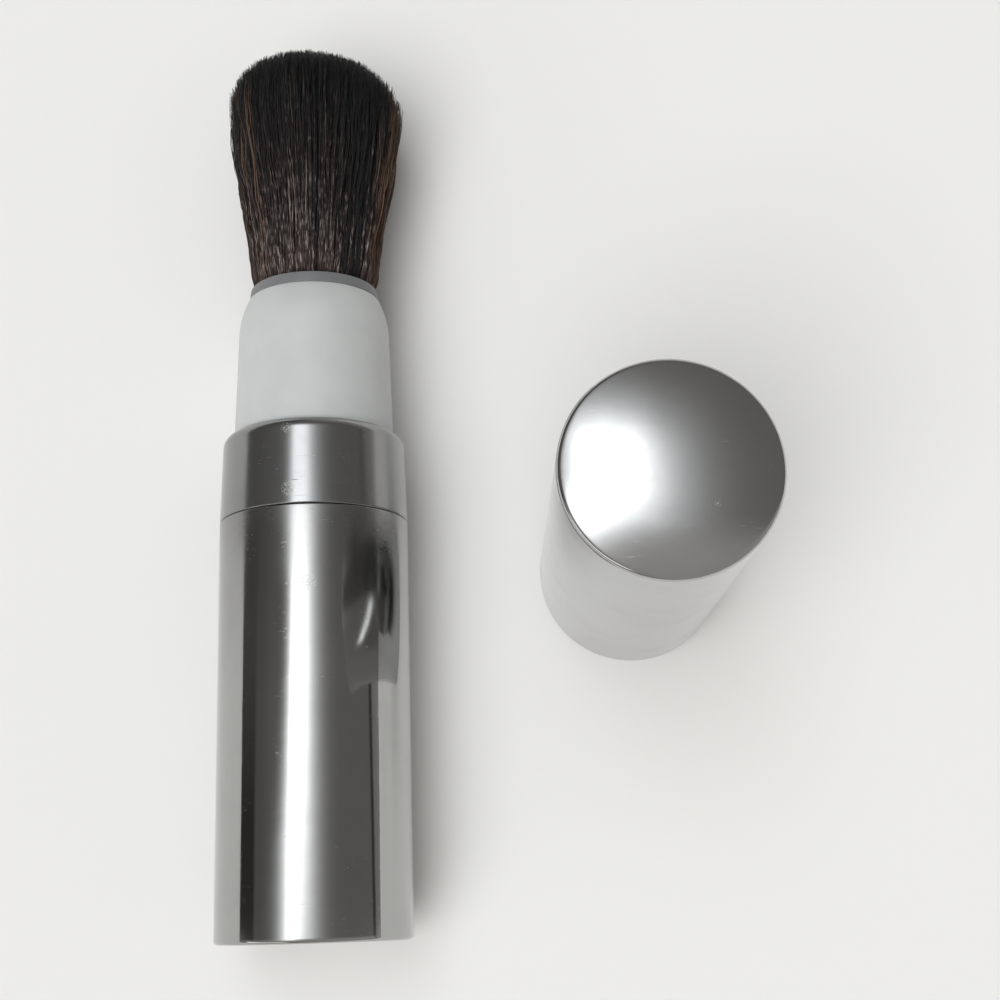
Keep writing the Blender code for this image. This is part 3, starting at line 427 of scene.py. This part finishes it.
def makeSleeve():
    top, low = sleeveHigh.y, sleeveLow.y
    angle = math.radians(sleeve["shoulderAngle"])
    waist = sleeve["footRadius"] - sleeve["draft"]
    centre = waist - sleeve["shoulder"]
    turn = top - sleeve["shoulder"] * math.sin(angle)
    inSize = sleeve["shoulder"] - sleeve["wall"]
    inEnd = math.degrees(math.acos((sleeve["hole"] - centre) / inSize))
    flangeTop = low + sleeve["flangeHeight"]
    inner = sleeve["footRadius"] - sleeve["wall"]
    rows = [(inner, low, 0), (sleeve["flange"], low, 0), (sleeve["flange"], flangeTop, 0),
            (sleeve["footRadius"], flangeTop, 0), (sleeve["footRadius"], collarHigh.y, 0)]
    # The shoulder's round stretch stops a degree short of the rim, which leaves room for the rim's arc
    rows += bend(centre, turn, sleeve["shoulder"], 0, sleeve["shoulderAngle"] - 1, sleeve["outSteps"])
    rows += [(centre + sleeve["shoulder"] * math.cos(angle), top, sleeve["rimEdge"]),
             (sleeve["hole"], top, 0)]
    rows += bend(centre, turn, inSize, inEnd, 0, sleeve["inSteps"])
    mesh = turnedMesh("sleeve_skin", softened(rows, True), sleeve["sides"], True, alongBrush)
    material = mouldedPlastic("frostedSleeve", sleeve["colour"], sleeve["roughness"], sleeve["grain"],
                              sleeve["cloud"], sleeve["milky"])
    addPiece("sleeve_skin", mesh, material, "brush_head", "frosted_plastic", "brush_sleeve")


# Ferrule ring

ring = {"top": 9.77 * mm, "foot": 9.98 * mm, "height": 1.5 * mm, "bore": 9.02 * mm, "tube": 9.47 * mm,
        "edge": 0.16 * mm, "seat": 0.28 * mm, "sides": 160, "colour": (0.180, 0.183, 0.189),
        "roughness": 0.42, "grain": 0.002 * mm, "cloud": 0.08}


def makeRing():
    top, low = ringHigh.y, ringLow.y
    bandLow = top - ring["height"] - ring["seat"]
    rows = [(ring["bore"], low, 0), (ring["tube"], low, 0), (ring["tube"], bandLow, 0),
            (ring["foot"], bandLow, 0), (ring["foot"], top - ring["height"], 0),
            (ring["top"], top, ring["edge"]), (ring["bore"], top, 0)]
    mesh = turnedMesh("ring_skin", softened(rows, True), ring["sides"], True, alongBrush)
    material = mouldedPlastic("ringGrey", ring["colour"], ring["roughness"], ring["grain"], ring["cloud"])
    addPiece("ring_skin", mesh, material, "brush_head", "ferrule_grey", "ferrule_ring")


# Cap

cap = {"wall": 0.6 * mm, "edge": 0.8 * mm, "domeRise": 1.6 * mm, "rimEdge": 0.15 * mm,
       "meetShare": 0.24, "edgeSteps": 14, "steps": 40, "sides": 192}


def roundCap(radius, angle, height):
    # Round the cap's own upright axis, with height above its rim
    return np.stack((capX + radius * np.cos(angle), capY + radius * np.sin(angle),
                     capLow.z + height + 0 * angle), axis=-1)


def makeCap():
    top = capHigh.z - capLow.z
    flat = bodyRadius - cap["edge"]
    curve = cap["domeRise"] / flat ** 2
    # The dome falls by curve times radius squared. The edge's arc starts where both slopes agree, at
    # about meetShare of its radius past the flat part.
    lean = math.atan(2 * curve * (flat + cap["meetShare"] * cap["edge"]))
    meet = flat + cap["edge"] * math.sin(lean)
    edgeCentre = top - curve * meet ** 2 - cap["edge"] * math.cos(lean)
    radii = np.linspace(meet, 0, cap["steps"] + 1)
    inRadii = np.linspace(0, flat - cap["wall"], cap["steps"] + 1)
    inner = bodyRadius - cap["wall"]
    outside = [(inner, 0, cap["rimEdge"]), (bodyRadius, 0, cap["rimEdge"])]
    outside += bend(flat, edgeCentre, cap["edge"], 0, 90 - math.degrees(lean), cap["edgeSteps"])
    outside += [(r, top - curve * r ** 2, 0) for r in radii[1:]]
    inside = [(r, top - cap["wall"] - curve * r ** 2, 0) for r in inRadii]
    inside += [(inner, edgeCentre, 0)]
    rows = inside + outside
    mesh = turnedMesh("cap_skin", softened(rows, False), cap["sides"], False, roundCap)
    addPiece("cap_skin", mesh, capMetal, "cap", "cap_metal", "cap_shell")


makeBarrel()
makeCollar()
makeSleeve()
makeRing()
makeCap()
print("turned skins are made")


# Bristles

hair = {
    "locks": 3450, "perLock": 4, "pieces": 6, "seed": 11, "sections": 14,
    "sectionPower": 0.9, "rootInner": 2.9 * mm, "rootOuter": 8.85 * mm, "rootDrop": 0.6 * mm,
    "rootScatter": 0.012, "mouth": 8.90 * mm, "mouthLength": 0.5 * mm, "waist": 9.77 * mm,
    "flare": 13.66 * mm, "flareStep": 0.75, "rightFlare": 0.026, "rightPower": 5,
    "shoulder": 30.1 * mm, "dome": 9.2 * mm, "domePower": 2.25, "tilt": 0.95 * mm,
    "spreadLength": 14.0 * mm, "sizePlaces": (0, 0.25, 0.7, 1), "sizeChance": (0.7, 1.25),
    "rootSize": 0.062 * mm, "bodySize": 0.074 * mm, "tipSize": 0.026 * mm,
    "lockScatter": 0.024, "tipScatter": 0.016, "stray": 0.012, "strayReach": 0.05,
    "weave": 0.055, "waveLength": (1.6, 4.0), "freeFrom": 4 * mm, "lockBow": 0.42 * mm,
    "bow": 0.10 * mm, "bowTurn": 4.2, "lockKink": 0.07 * mm, "kink": 0.035 * mm,
    "tipDrop": 0.6 * mm, "shortShare": 0.12, "shortReach": 11.0 * mm, "lean": 0.12 * mm,
    "leanFrom": 1.5 * mm,
}


def bundleRadius(height):
    # Outer radius of the bundle above the ring: a mix of a smooth step and a straight line from waist
    # to flare, drawn in to the ferrule's mouth by a term that dies away
    share = np.clip(height / hair["shoulder"], 0, 1.15)
    step = np.clip(share, 0, 1) ** 2 * (3 - 2 * np.clip(share, 0, 1))
    mix = hair["flareStep"] * step + (1 - hair["flareStep"]) * share
    full = hair["waist"] + (hair["flare"] - hair["waist"]) * mix
    pinch = np.exp(-np.maximum(height, 0) / hair["mouthLength"])
    return full - (hair["waist"] - hair["mouth"]) * pinch


def heldIn(place):
    # Places past the rim are folded back in by as much
    reach = np.maximum(np.hypot(*place.T), 1e-9)
    return place * ((1 - np.abs(1 - reach)) / reach)[:, None]


def strandPaths(rng):
    # Strands grow in locks. Lock n of N starts at angle n times the golden angle and at a radius that
    # fills the root's ring evenly. A strand keeps its share of the bundle's radius as it rises, and the
    # outer ones end lower, on a dome whose height is (1 - share ^ power) ^ (1 / power), lower on the right.
    locks, sections = hair["locks"], hair["sections"]
    lock = np.repeat(np.arange(locks), hair["perLock"])
    count = len(lock)
    order = (np.arange(locks) + 0.5) / locks
    angle = np.arange(locks) * golden
    way = np.stack((np.cos(angle), np.sin(angle)), 1)
    inner, outer = hair["rootInner"], hair["rootOuter"]
    root = way * (np.sqrt(inner ** 2 + (outer ** 2 - inner ** 2) * order) / outer)[:, None]
    root = heldIn(root[lock] + rng.normal(0, hair["rootScatter"], (count, 2)))
    tip = way * np.sqrt(order)[:, None] + rng.normal(0, hair["lockScatter"], (locks, 2))
    loose = np.where(rng.random(count) < hair["stray"], hair["strayReach"], hair["tipScatter"])
    tip = heldIn(tip[lock] + rng.normal(0, 1, (count, 2)) * loose[:, None])
    power = hair["domePower"]
    tipHeight = hair["shoulder"] + hair["dome"] * (1 - np.hypot(*tip.T) ** power) ** (1 / power)
    tipHeight -= hair["tilt"] * tip[:, 0] + rng.random(count) ** 2 * hair["tipDrop"]
    tipHeight -= (rng.random(count) < hair["shortShare"]) * rng.random(count) * hair["shortReach"]
    along = np.linspace(0, 1, sections) ** hair["sectionPower"]
    height = -hair["rootDrop"] + (tipHeight + hair["rootDrop"])[:, None] * along
    rise = np.clip(height / hair["spreadLength"], 0, 1)
    rise = (rise ** 2 * (3 - 2 * rise))[..., None]
    place = root[:, None] * (1 - rise) + tip[:, None] * rise
    # Locks dip inwards and come back out in long waves, so the surface has tufts and dark gaps. Each
    # lock bows and kinks sideways, and its strands a little more on their own.
    free = np.clip(height / hair["freeFrom"], 0, 1)
    length = rng.uniform(*hair["waveLength"], locks)[lock] * mm
    phase = rng.uniform(0, math.tau, locks)[lock]
    waves = 0.5 + 0.5 * np.sin(height / length[:, None] + phase[:, None])
    place = place * (bundleRadius(height) * (1 - hair["weave"] * waves * free))[..., None]
    for size, who in ((hair["lockBow"], lock), (hair["bow"], np.arange(count))):
        turn = rng.uniform(0, math.tau, (2, who[-1] + 1))[:, who]
        bow = np.sin(along * hair["bowTurn"] + turn[0][:, None]) * along * size
        place += bow[..., None] * np.stack((np.cos(turn[1]), np.sin(turn[1])), 1)[:, None]
    kinks = rng.normal(0, hair["lockKink"], (locks, sections, 2))[lock]
    place += (kinks + rng.normal(0, hair["kink"], place.shape)) * free[..., None]
    # The right side flares a little more near the top, and the whole bundle leans right
    whole = np.clip(height / hair["shoulder"], 0, 1)
    start = np.clip(height / hair["leanFrom"], 0, 1)
    place[..., 0] *= 1 + hair["rightFlare"] * whole ** hair["rightPower"] * (place[..., 0] > 0)
    place[..., 0] += hair["lean"] * start
    return place, height, lock


strandKinds = {
    "lockShare": 0.5, "rightSide": (0.81, 0.12), "leftSide": (0.78, 0.14), "leftShare": 0.95,
    "ink": 0.30, "inkRightShade": 0.42, "inkPlace": 0.66, "inkReach": 0.20, "brown": 0.10, "brownSideSheen": 0.62,
    "copper": 0.10, "copperSideSheen": 0.55, "pale": 0.022, "paleLimit": 1.4, "paleInk": 2,
    "ownTone": 0.01, "upperSide": 0.96, "streaks": ((-0.70, 3, 10), (-0.13, 4, 3)),
}


def strandTones(rng, place, lock):
    # A strand's tone says which of five kinds it is: ink, dark, brown, copper or pale. Chance and its
    # lock choose the kind. Ink is likelier right of the middle, as painted shade on the side away from the
    # lamp, and brown and copper at both sides, as painted sheen where light grazes the bundle. A few
    # strands anywhere are pale. Each streak is a place across, a kind and how many strands nearest to
    # that place on the upper side have it.
    look, count = strandKinds, len(lock)
    middle = hair["sections"] // 2
    spot = place[:, middle] / bundleRadius(0.5 * hair["shoulder"])
    across = spot[:, 0]
    lockChance = rng.random(hair["locks"])[lock]
    chance = look["lockShare"] * lockChance + (1 - look["lockShare"]) * rng.random(count)
    side = np.clip((across - look["rightSide"][0]) / look["rightSide"][1], 0, 1)
    side = side + look["leftShare"] * np.clip((-across - look["leftSide"][0]) / look["leftSide"][1], 0, 1)
    # Painted shade and sheen: ink gathers right of the middle, brown and copper gather at the sides
    ink = look["ink"] + look["inkRightShade"] * np.exp(-((across - look["inkPlace"]) / look["inkReach"]) ** 2)
    brown = look["brown"] + look["brownSideSheen"] * side
    kind = np.where(chance < ink * (1 - side), 0, 1) + np.where(chance > 1 - brown, 1, 0)
    copper = look["copper"] + look["copperSideSheen"] * side * (across > 0)
    kind += (kind == 2) & (rng.random(count) < copper)
    kind[rng.random(count) < look["pale"] * np.clip(look["paleLimit"] - ink * look["paleInk"], 0, 1)] = 4
    for x, which, strands in look["streaks"]:
        target = np.array((x, math.sqrt(look["upperSide"] - x * x)))
        kind[((spot - target) ** 2).sum(1).argsort()[:strands]] = which
    # Strands of one lock have nearly the same tone, so their dashes lie side by side
    low, high = np.array(hairLook["kinds"])[kind].T
    lockTone = (1 - look["ownTone"]) * rng.random(hair["locks"])[lock]
    return low + (high - low) * (lockTone + look["ownTone"] * rng.random(count))


def strandMesh(name, place, height, tone, rng):
    # Each strand is a three-sided tube: a triangle carried along its path, thinner towards the tip,
    # with both ends closed. Its map holds its tone across and its height upwards.
    count, sections = height.shape
    along = np.linspace(0, 1, sections)
    sizes = (hair["rootSize"], hair["bodySize"], hair["bodySize"], hair["tipSize"])
    size = np.interp(along, hair["sizePlaces"], sizes) * rng.uniform(*hair["sizeChance"], count)[:, None]
    turn = rng.random(count)[:, None, None] * math.tau + np.arange(3) * math.tau / 3
    side = np.stack((np.cos(turn), np.sin(turn)), -1) * size[..., None, None]
    ringHeight = ringHigh.y + height[..., None] + 0 * side[..., 0]
    points = np.stack((place[..., None, 0] + side[..., 0], ringHeight,
                       place[..., None, 1] + side[..., 1]), -1)
    index = np.arange(count * sections * 3).reshape(count, sections, 3)
    lower, upper = index[:, :-1], index[:, 1:]
    quads = np.stack((lower, upper, np.roll(upper, -1, 2), np.roll(lower, -1, 2)), -1).reshape(-1, 4)
    ends = np.concatenate((index[:, 0], index[:, -1, ::-1]))
    mesh = meshOf(name, points.reshape(-1, 3), [quads, ends])
    # The three corners of a section lie a hair apart on the map, so that no face there is flat
    cornerStep = 0.002
    across = tone[:, None, None] * (1 - 2 * cornerStep) + np.array((0, 1, 2)) * cornerStep + 0 * ringHeight
    upwards = height[..., None] / (hair["shoulder"] + hair["dome"]) * 0.99 + np.array((0.0, 0.003, 0.0))
    corner = np.zeros(len(mesh.loops), np.int32)
    mesh.loops.foreach_get("vertex_index", corner)
    layer = mesh.uv_layers.new(name="OFBake")
    flat = np.stack((across.reshape(-1)[corner], np.clip(upwards, 0, 1).reshape(-1)[corner]), 1)
    layer.uv.foreach_set("vector", flat.astype(np.float32).ravel())
    return mesh


hairLook = {
    "kinds": ((0.01, 0.24), (0.27, 0.60), (0.63, 0.80), (0.83, 0.94), (0.96, 0.99)),
    "ink": ((0.00, (0.022, 0.019, 0.020)), (0.50, (0.014, 0.014, 0.015)), (1.00, (0.014, 0.016, 0.018))),
    "dark": ((0.00, (0.066, 0.046, 0.042)), (0.22, (0.038, 0.029, 0.027)), (0.45, (0.022, 0.018, 0.018)),
             (1.00, (0.015, 0.017, 0.019))),
    "brown": ((0.00, (0.050, 0.034, 0.029)), (0.40, (0.054, 0.038, 0.029)), (0.75, (0.034, 0.027, 0.022)),
              (1.00, (0.017, 0.017, 0.018))),
    "copper": ((0.00, (0.155, 0.092, 0.062)), (0.60, (0.145, 0.090, 0.060)), (0.85, (0.078, 0.054, 0.040)),
               (1.00, (0.022, 0.020, 0.019))),
    # The light colour of the dashes and the keys that place them paint glints of light on the hair
    "base": (0.03, 0.02, 0.02), "pale": (0.36, 0.29, 0.25), "glintColour": (0.46, 0.385, 0.355),
    "roughness": 0.45, "specular": 0.22,
    "fleckStretch": (300, 24, 1), "lowGlint": (0.62, 0.04), "rootGlint": (0.0, 0.05, 0.55, 1.0),
    "glintSpread": (0.52, 0.64), "fewGlintSpread": (0.62, 0.72), "fewGlintHeight": (0.92, 0.40), "fewGlintShare": 0.30,
    "fromInk": (0.24, 0.27), "toBrown": (0.60, 0.63), "toCopper": (0.80, 0.83), "toPale": (0.945, 0.955),
    "paleSpread": (0.34, 0.50), "paleHeight": (0.60, 0.28, 0.02, 0.75),
}


def hairMaterial():
    # Colour runs from brown at the root to near black at the tip, by kind of strand. Light dashes, painted
    # glints of light on the hair, break up the dark strands, most of them low down.
    look = hairLook
    material, tree, shader = newMaterial("bristleHair", look["base"], 0.0, look["roughness"])
    layer = tree.nodes.new("ShaderNodeUVMap")
    layer.uv_map = "OFBake"
    parts = tree.nodes.new("ShaderNodeSeparateXYZ")
    tree.links.new(layer.outputs["UV"], parts.inputs[0])
    tone, height = parts.outputs["X"], parts.outputs["Y"]
    stretched = tree.nodes.new("ShaderNodeMapping")
    tree.links.new(layer.outputs["UV"], stretched.inputs["Vector"])
    stretched.inputs["Scale"].default_value = look["fleckStretch"]
    flecks = noise(tree, stretched.outputs["Vector"], 1.0, 1.0)
    colour = colourSteps(tree, height, look["dark"])
    # Painted glints: light dashes where the stretched noise is high, most of them low on the strands and a
    # few higher up
    low = spread(tree, height, *look["lowGlint"])
    start = spread(tree, height, *look["rootGlint"])
    dashes = product(tree, spread(tree, flecks, *look["glintSpread"]), low, low, start)
    colour = blendColours(tree, dashes, colour, look["glintColour"])
    few = product(tree, spread(tree, flecks, *look["fewGlintSpread"]),
                  spread(tree, height, *look["fewGlintHeight"]), look["fewGlintShare"])
    colour = blendColours(tree, few, colour, look["glintColour"])
    ink = colourSteps(tree, height, look["ink"])
    colour = blendColours(tree, spread(tree, tone, *look["fromInk"]), ink, colour)
    for edge, kind in (("toBrown", "brown"), ("toCopper", "copper")):
        steps = colourSteps(tree, height, look[kind])
        colour = blendColours(tree, spread(tree, tone, *look[edge]), colour, steps)
    pale = product(tree, spread(tree, tone, *look["toPale"]), spread(tree, flecks, *look["paleSpread"]),
                   spread(tree, height, *look["paleHeight"]))
    tree.links.new(blendColours(tree, pale, colour, look["pale"]), shader.inputs["Base Color"])
    shader.inputs["Specular IOR Level"].default_value = look["specular"]
    return material


def makeBristles():
    rng = np.random.default_rng(hair["seed"])
    place, height, lock = strandPaths(rng)
    tone = strandTones(rng, place, lock)
    material = hairMaterial()
    for number, part in enumerate(np.array_split(np.arange(len(lock)), hair["pieces"]), 1):
        name = f"bristles_{number}"
        mesh = strandMesh(name, place[part], height[part], tone[part], rng)
        addPiece(name, mesh, material, "brush_head", "bristle_hair", "bristle_bundle")


makeBristles()
print("bristles are made")


# Inner pieces: each keeps its solid's shape, with its doubled corners merged and its round faces smooth

innerLooks = {
    "base_weight": ("steel", (0.42, 0.43, 0.45), 0.42),
    "valve_spring": ("steel", (0.60, 0.61, 0.63), 0.28),
    "powder_bottle": ("plastic", (0.74, 0.75, 0.76), 0.36),
    "neck_ring": ("plastic", (0.10, 0.105, 0.11), 0.40),
    "neck_o_ring": ("plastic", (0.03, 0.03, 0.033), 0.62),
    "sifter_plate": ("plastic", (0.72, 0.73, 0.74), 0.38),
    "sifter_gasket": ("plastic", (0.55, 0.56, 0.57), 0.66),
    "bearing_washer": ("plastic", (0.03, 0.03, 0.032), 0.5),
    "collar_carrier": ("plastic", (0.72, 0.73, 0.74), 0.42),
    "shutter_disc": ("plastic", (0.36, 0.37, 0.39), 0.4),
    "feed_tube": ("plastic", (0.74, 0.75, 0.76), 0.36),
    "tube_seal": ("plastic", (0.03, 0.03, 0.033), 0.62),
    "cap_liner": ("plastic", (0.72, 0.73, 0.74), 0.42),
}
bodies = frame["record"]["behaviour"]["bodies"]
bodyOf = {node: body for body, members in bodies.items() for node in members}
slotOf = {part["node"]: part["material_slot"] for part in frame["record"]["subparts"]}


def smoothCopy(node, sharpFrom=32, sameWithin=0.0005 * mm):
    shape = bmesh.new()
    shape.from_mesh(nodes[node].data)
    bmesh.ops.remove_doubles(shape, verts=shape.verts, dist=sameWithin)
    mesh = bpy.data.meshes.new(node + "_skin")
    shape.to_mesh(mesh)
    shape.free()
    mesh.materials.clear()
    mesh.shade_smooth()
    mesh.set_sharp_from_angle(angle=math.radians(sharpFrom))
    return mesh


def makeInner():
    for node, (kind, colour, roughness) in innerLooks.items():
        make = wornSteel if kind == "steel" else mouldedPlastic
        material = make(node + "Finish", colour, roughness)
        addPiece(node + "_skin", smoothCopy(node), material, bodyOf[node], slotOf[node], node)


makeInner()
print("inner pieces are made")


# Floor, camera and light

stage = {"radius": 2.0, "middle": 0.1, "rings": 20, "rim": 0.12, "drop": 0.02 * mm, "sides": 96,
         "colour": (0.865, 0.860, 0.845), "roughness": 0.75, "specular": 0.1,
         "wallRadius": 2.6, "wallHeight": 2.2, "wallGlow": 0.80}


def roundStage(radius, angle, height):
    return np.stack((radius * np.cos(angle), radius * np.sin(angle),
                     cadLow.z - stage["drop"] + height + 0 * angle), axis=-1)


def addToStage(name, outline, material):
    mesh = turnedMesh(name, outline, stage["sides"], False, roundStage)
    mesh.materials.append(material)
    part = bpy.data.objects.new(name, mesh)
    bpy.context.scene.collection.objects.link(part)
    return part


def makeFloor():
    # A wide flat disc whose edge sweeps up: height = rim times the cube of how far out past half way
    radius = np.concatenate(([0], np.linspace(stage["middle"], stage["radius"], stage["rings"])))
    height = stage["rim"] * np.clip(radius / stage["radius"] * 2 - 1, 0, 1) ** 3
    material, _, shader = newMaterial("paleFloor", stage["colour"], 0.0, stage["roughness"])
    shader.inputs["Specular IOR Level"].default_value = stage["specular"]
    addToStage("floor", np.stack((radius, height), 1)[::-1], material)


def makeBackdrop():
    # A pale wall past the floor's rim, for views from the side. Only the camera sees it, so it adds no
    # light to the object.
    material, _, shader = newMaterial("paleWall", (0.0, 0.0, 0.0), 0.0, 1.0)
    shader.inputs["Specular IOR Level"].default_value = 0.0
    shader.inputs["Emission Color"].default_value = (*stage["colour"], 1)
    shader.inputs["Emission Strength"].default_value = stage["wallGlow"] / stage["colour"][0]
    outline = np.array(((stage["wallRadius"], stage["wallHeight"]), (stage["radius"], stage["rim"])))
    wall = addToStage("backdrop", outline, material)
    wall.visible_diffuse = wall.visible_glossy = False
    wall.visible_transmission = wall.visible_shadow = False


view = {
    "place": (24.67 * mm, 3.42 * mm, 236.72 * mm), "pitch": 15.26, "yaw": -3.04, "roll": 1.375,
    "lens": 58.26, "sensor": 36.0, "shiftY": -0.03, "near": 1 * mm,
}


def makeCamera():
    camera = bpy.data.objects.new("camera", bpy.data.cameras.new("camera"))
    bpy.context.scene.collection.objects.link(camera)
    camera.data.sensor_width = view["sensor"]
    camera.data.lens = view["lens"]
    camera.data.shift_y = view["shiftY"]
    camera.data.clip_start = view["near"]
    yaw, pitch, roll = (Matrix.Rotation(math.radians(view[name]), 4, axis)
                        for name, axis in (("yaw", "Z"), ("pitch", "X"), ("roll", "Z")))
    camera.matrix_world = Matrix.Translation(view["place"]) @ (yaw @ pitch @ roll)
    bpy.context.scene.camera = camera


# Directions are unit vectors (x, y, z). Across is x / z and along is y / z, seen from the object.
light = {
    "lamp": 1.50, "lampFrom": (-0.28, -0.40, 0.87), "lampAngle": 42,
    "window": 3.3, "windowColour": (0.955, 0.985, 1.0), "fade": 7.4, "round": 0.035,
    "right": -0.10, "left": (0.06, 0.24, -0.408, -0.345), "leftFade": (0.04, 0.20, 0.9, 2.0),
    "high": (-0.22, 0.10, 0.42, 0.27), "highFade": 0.80, "low": 0.17, "lowFade": 0.80,
    "lowOnRight": (-0.35, -0.05), "foot": -0.02, "footFade": 1.6, "horizon": (0.0, 0.1),
    "strip": 2.8, "stripFrom": -0.9, "stripTilt": -0.45, "stripHeight": ((0.19, 0.23), (0.28, 0.34)),
    "stripBack": (-0.15, -0.30), "stripLeft": (-0.30, -0.42),
    "roomColour": (1.0, 0.965, 0.92), "leftLow": (0.06, 0.17, 0.04, 0.10), "leftHigh": (0.36, 0.44),
    "highLeft": ((0.0, 0.13), (0.52, 0.13), (0.72, 0.17), (1.0, 0.17)),
    "lineFrom": 0.25, "lineTilt": -0.45,
    "lowRight": ((0.0, 0.36), (0.05, 0.36), (0.28, 0.24), (0.29, 0.06), (0.345, 0.06), (0.36, 0.177),
                 (1.0, 0.177)),
    "sides": (-0.3, 0.1), "behind": (0.02, -0.22, 0.0, 0.22),
}


def makeLamp():
    # A broad soft lamp that the metal doesn't mirror
    lamp = bpy.data.objects.new("lamp", bpy.data.lights.new("lamp", "SUN"))
    bpy.context.scene.collection.objects.link(lamp)
    lamp.data.energy = light["lamp"]
    lamp.data.angle = math.radians(light["lampAngle"])
    lamp.rotation_euler = Vector(light["lampFrom"]).to_track_quat("Z", "Y").to_euler()
    lamp.visible_glossy = False


def makeStudio():
    # Light by direction. Overhead and to the left is a window, flat inside a rectangle of slopes and
    # fading by the exponential of the distance from it. A strip light lies low behind the brush's base.
    # The room is dark on the left, and pale with a dark line low on the right.
    world = bpy.data.worlds.new("studio")
    bpy.context.scene.world = world
    world.use_nodes = True
    tree = world.node_tree
    place = tree.nodes.new("ShaderNodeTexCoord")
    parts = tree.nodes.new("ShaderNodeSeparateXYZ")
    tree.links.new(place.outputs["Generated"], parts.inputs[0])
    x, y, z = parts.outputs
    up = calculate(tree, "MAXIMUM", z, 0.05)
    across = calculate(tree, "DIVIDE", x, up)
    along = calculate(tree, "DIVIDE", y, up)

    def add(*values):
        total = values[0]
        for value in values[1:]:
            total = calculate(tree, "ADD", total, value)
        return total

    def past(value, limit, way, share=1.0):
        # How far the value is past the limit, counted one way only
        over = product(tree, calculate(tree, "SUBTRACT", value, limit), way)
        return product(tree, calculate(tree, "MAXIMUM", over, 0.0), share)

    def between(value, rise, fall):
        return product(tree, spread(tree, value, *rise, smooth=True),
                       spread(tree, value, *fall, 1.0, 0.0, smooth=True))

    def tilted(value, begin, tilt):
        # Height plus tilt times how far the value is from begin
        return calculate(tree, "MULTIPLY_ADD", calculate(tree, "SUBTRACT", value, begin), tilt, z)

    onRight = spread(tree, across, *light["lowOnRight"])
    leftLimit = spread(tree, along, *light["left"])
    leftFade = spread(tree, along, *light["leftFade"])
    highLimit = spread(tree, across, *light["high"])
    sideways = add(past(across, light["right"], 1.0), past(across, leftLimit, -1.0, leftFade))
    upwards = add(past(along, highLimit, 1.0, light["highFade"]),
                  product(tree, past(along, light["low"], -1.0, light["lowFade"]), onRight),
                  past(along, light["foot"], -1.0, light["footFade"]))
    squares = add(product(tree, sideways, sideways), product(tree, upwards, upwards))
    distance = calculate(tree, "SQRT", squares)
    rounded = calculate(tree, "SQRT", add(product(tree, distance, distance), light["round"] ** 2))
    beyond = calculate(tree, "SUBTRACT", rounded, light["round"])
    window = calculate(tree, "EXPONENT", product(tree, beyond, -light["fade"]))
    above = spread(tree, z, *light["horizon"], smooth=True)
    window = product(tree, window, above, light["window"])
    stripPlace = tilted(x, light["stripFrom"], light["stripTilt"])
    strip = product(tree, between(stripPlace, *light["stripHeight"]), spread(tree, y, *light["stripBack"]),
                    spread(tree, x, *light["stripLeft"]), light["strip"])
    leftRoom = blendColours(tree, spread(tree, z, *light["leftHigh"], smooth=True),
                            spread(tree, y, *light["leftLow"]), colourSteps(tree, z, light["highLeft"]))
    sloped = calculate(tree, "MAXIMUM", tilted(y, light["lineFrom"], light["lineTilt"]), 0.0)
    rightRoom = colourSteps(tree, sloped, light["lowRight"])
    room = blendColours(tree, spread(tree, x, *light["sides"], smooth=True), leftRoom, rightRoom)
    behind = spread(tree, along, *light["behind"], smooth=True)
    room = add(room, product(tree, behind, above))
    windowLight = tree.nodes["Background"]
    windowLight.inputs["Color"].default_value = (*light["windowColour"], 1)
    tree.links.new(add(window, strip), windowLight.inputs["Strength"])
    roomLight = tree.nodes.new("ShaderNodeBackground")
    roomLight.inputs["Color"].default_value = (*light["roomColour"], 1)
    tree.links.new(room, roomLight.inputs["Strength"])
    both = tree.nodes.new("ShaderNodeAddShader")
    tree.links.new(windowLight.outputs[0], both.inputs[0])
    tree.links.new(roomLight.outputs[0], both.inputs[1])
    tree.links.new(both.outputs[0], tree.nodes["World Output"].inputs["Surface"])


makeFloor()
makeBackdrop()
makeCamera()
makeLamp()
makeStudio()
bpy.context.scene.view_settings.view_transform = "Standard"
print("floor, camera and light are set")
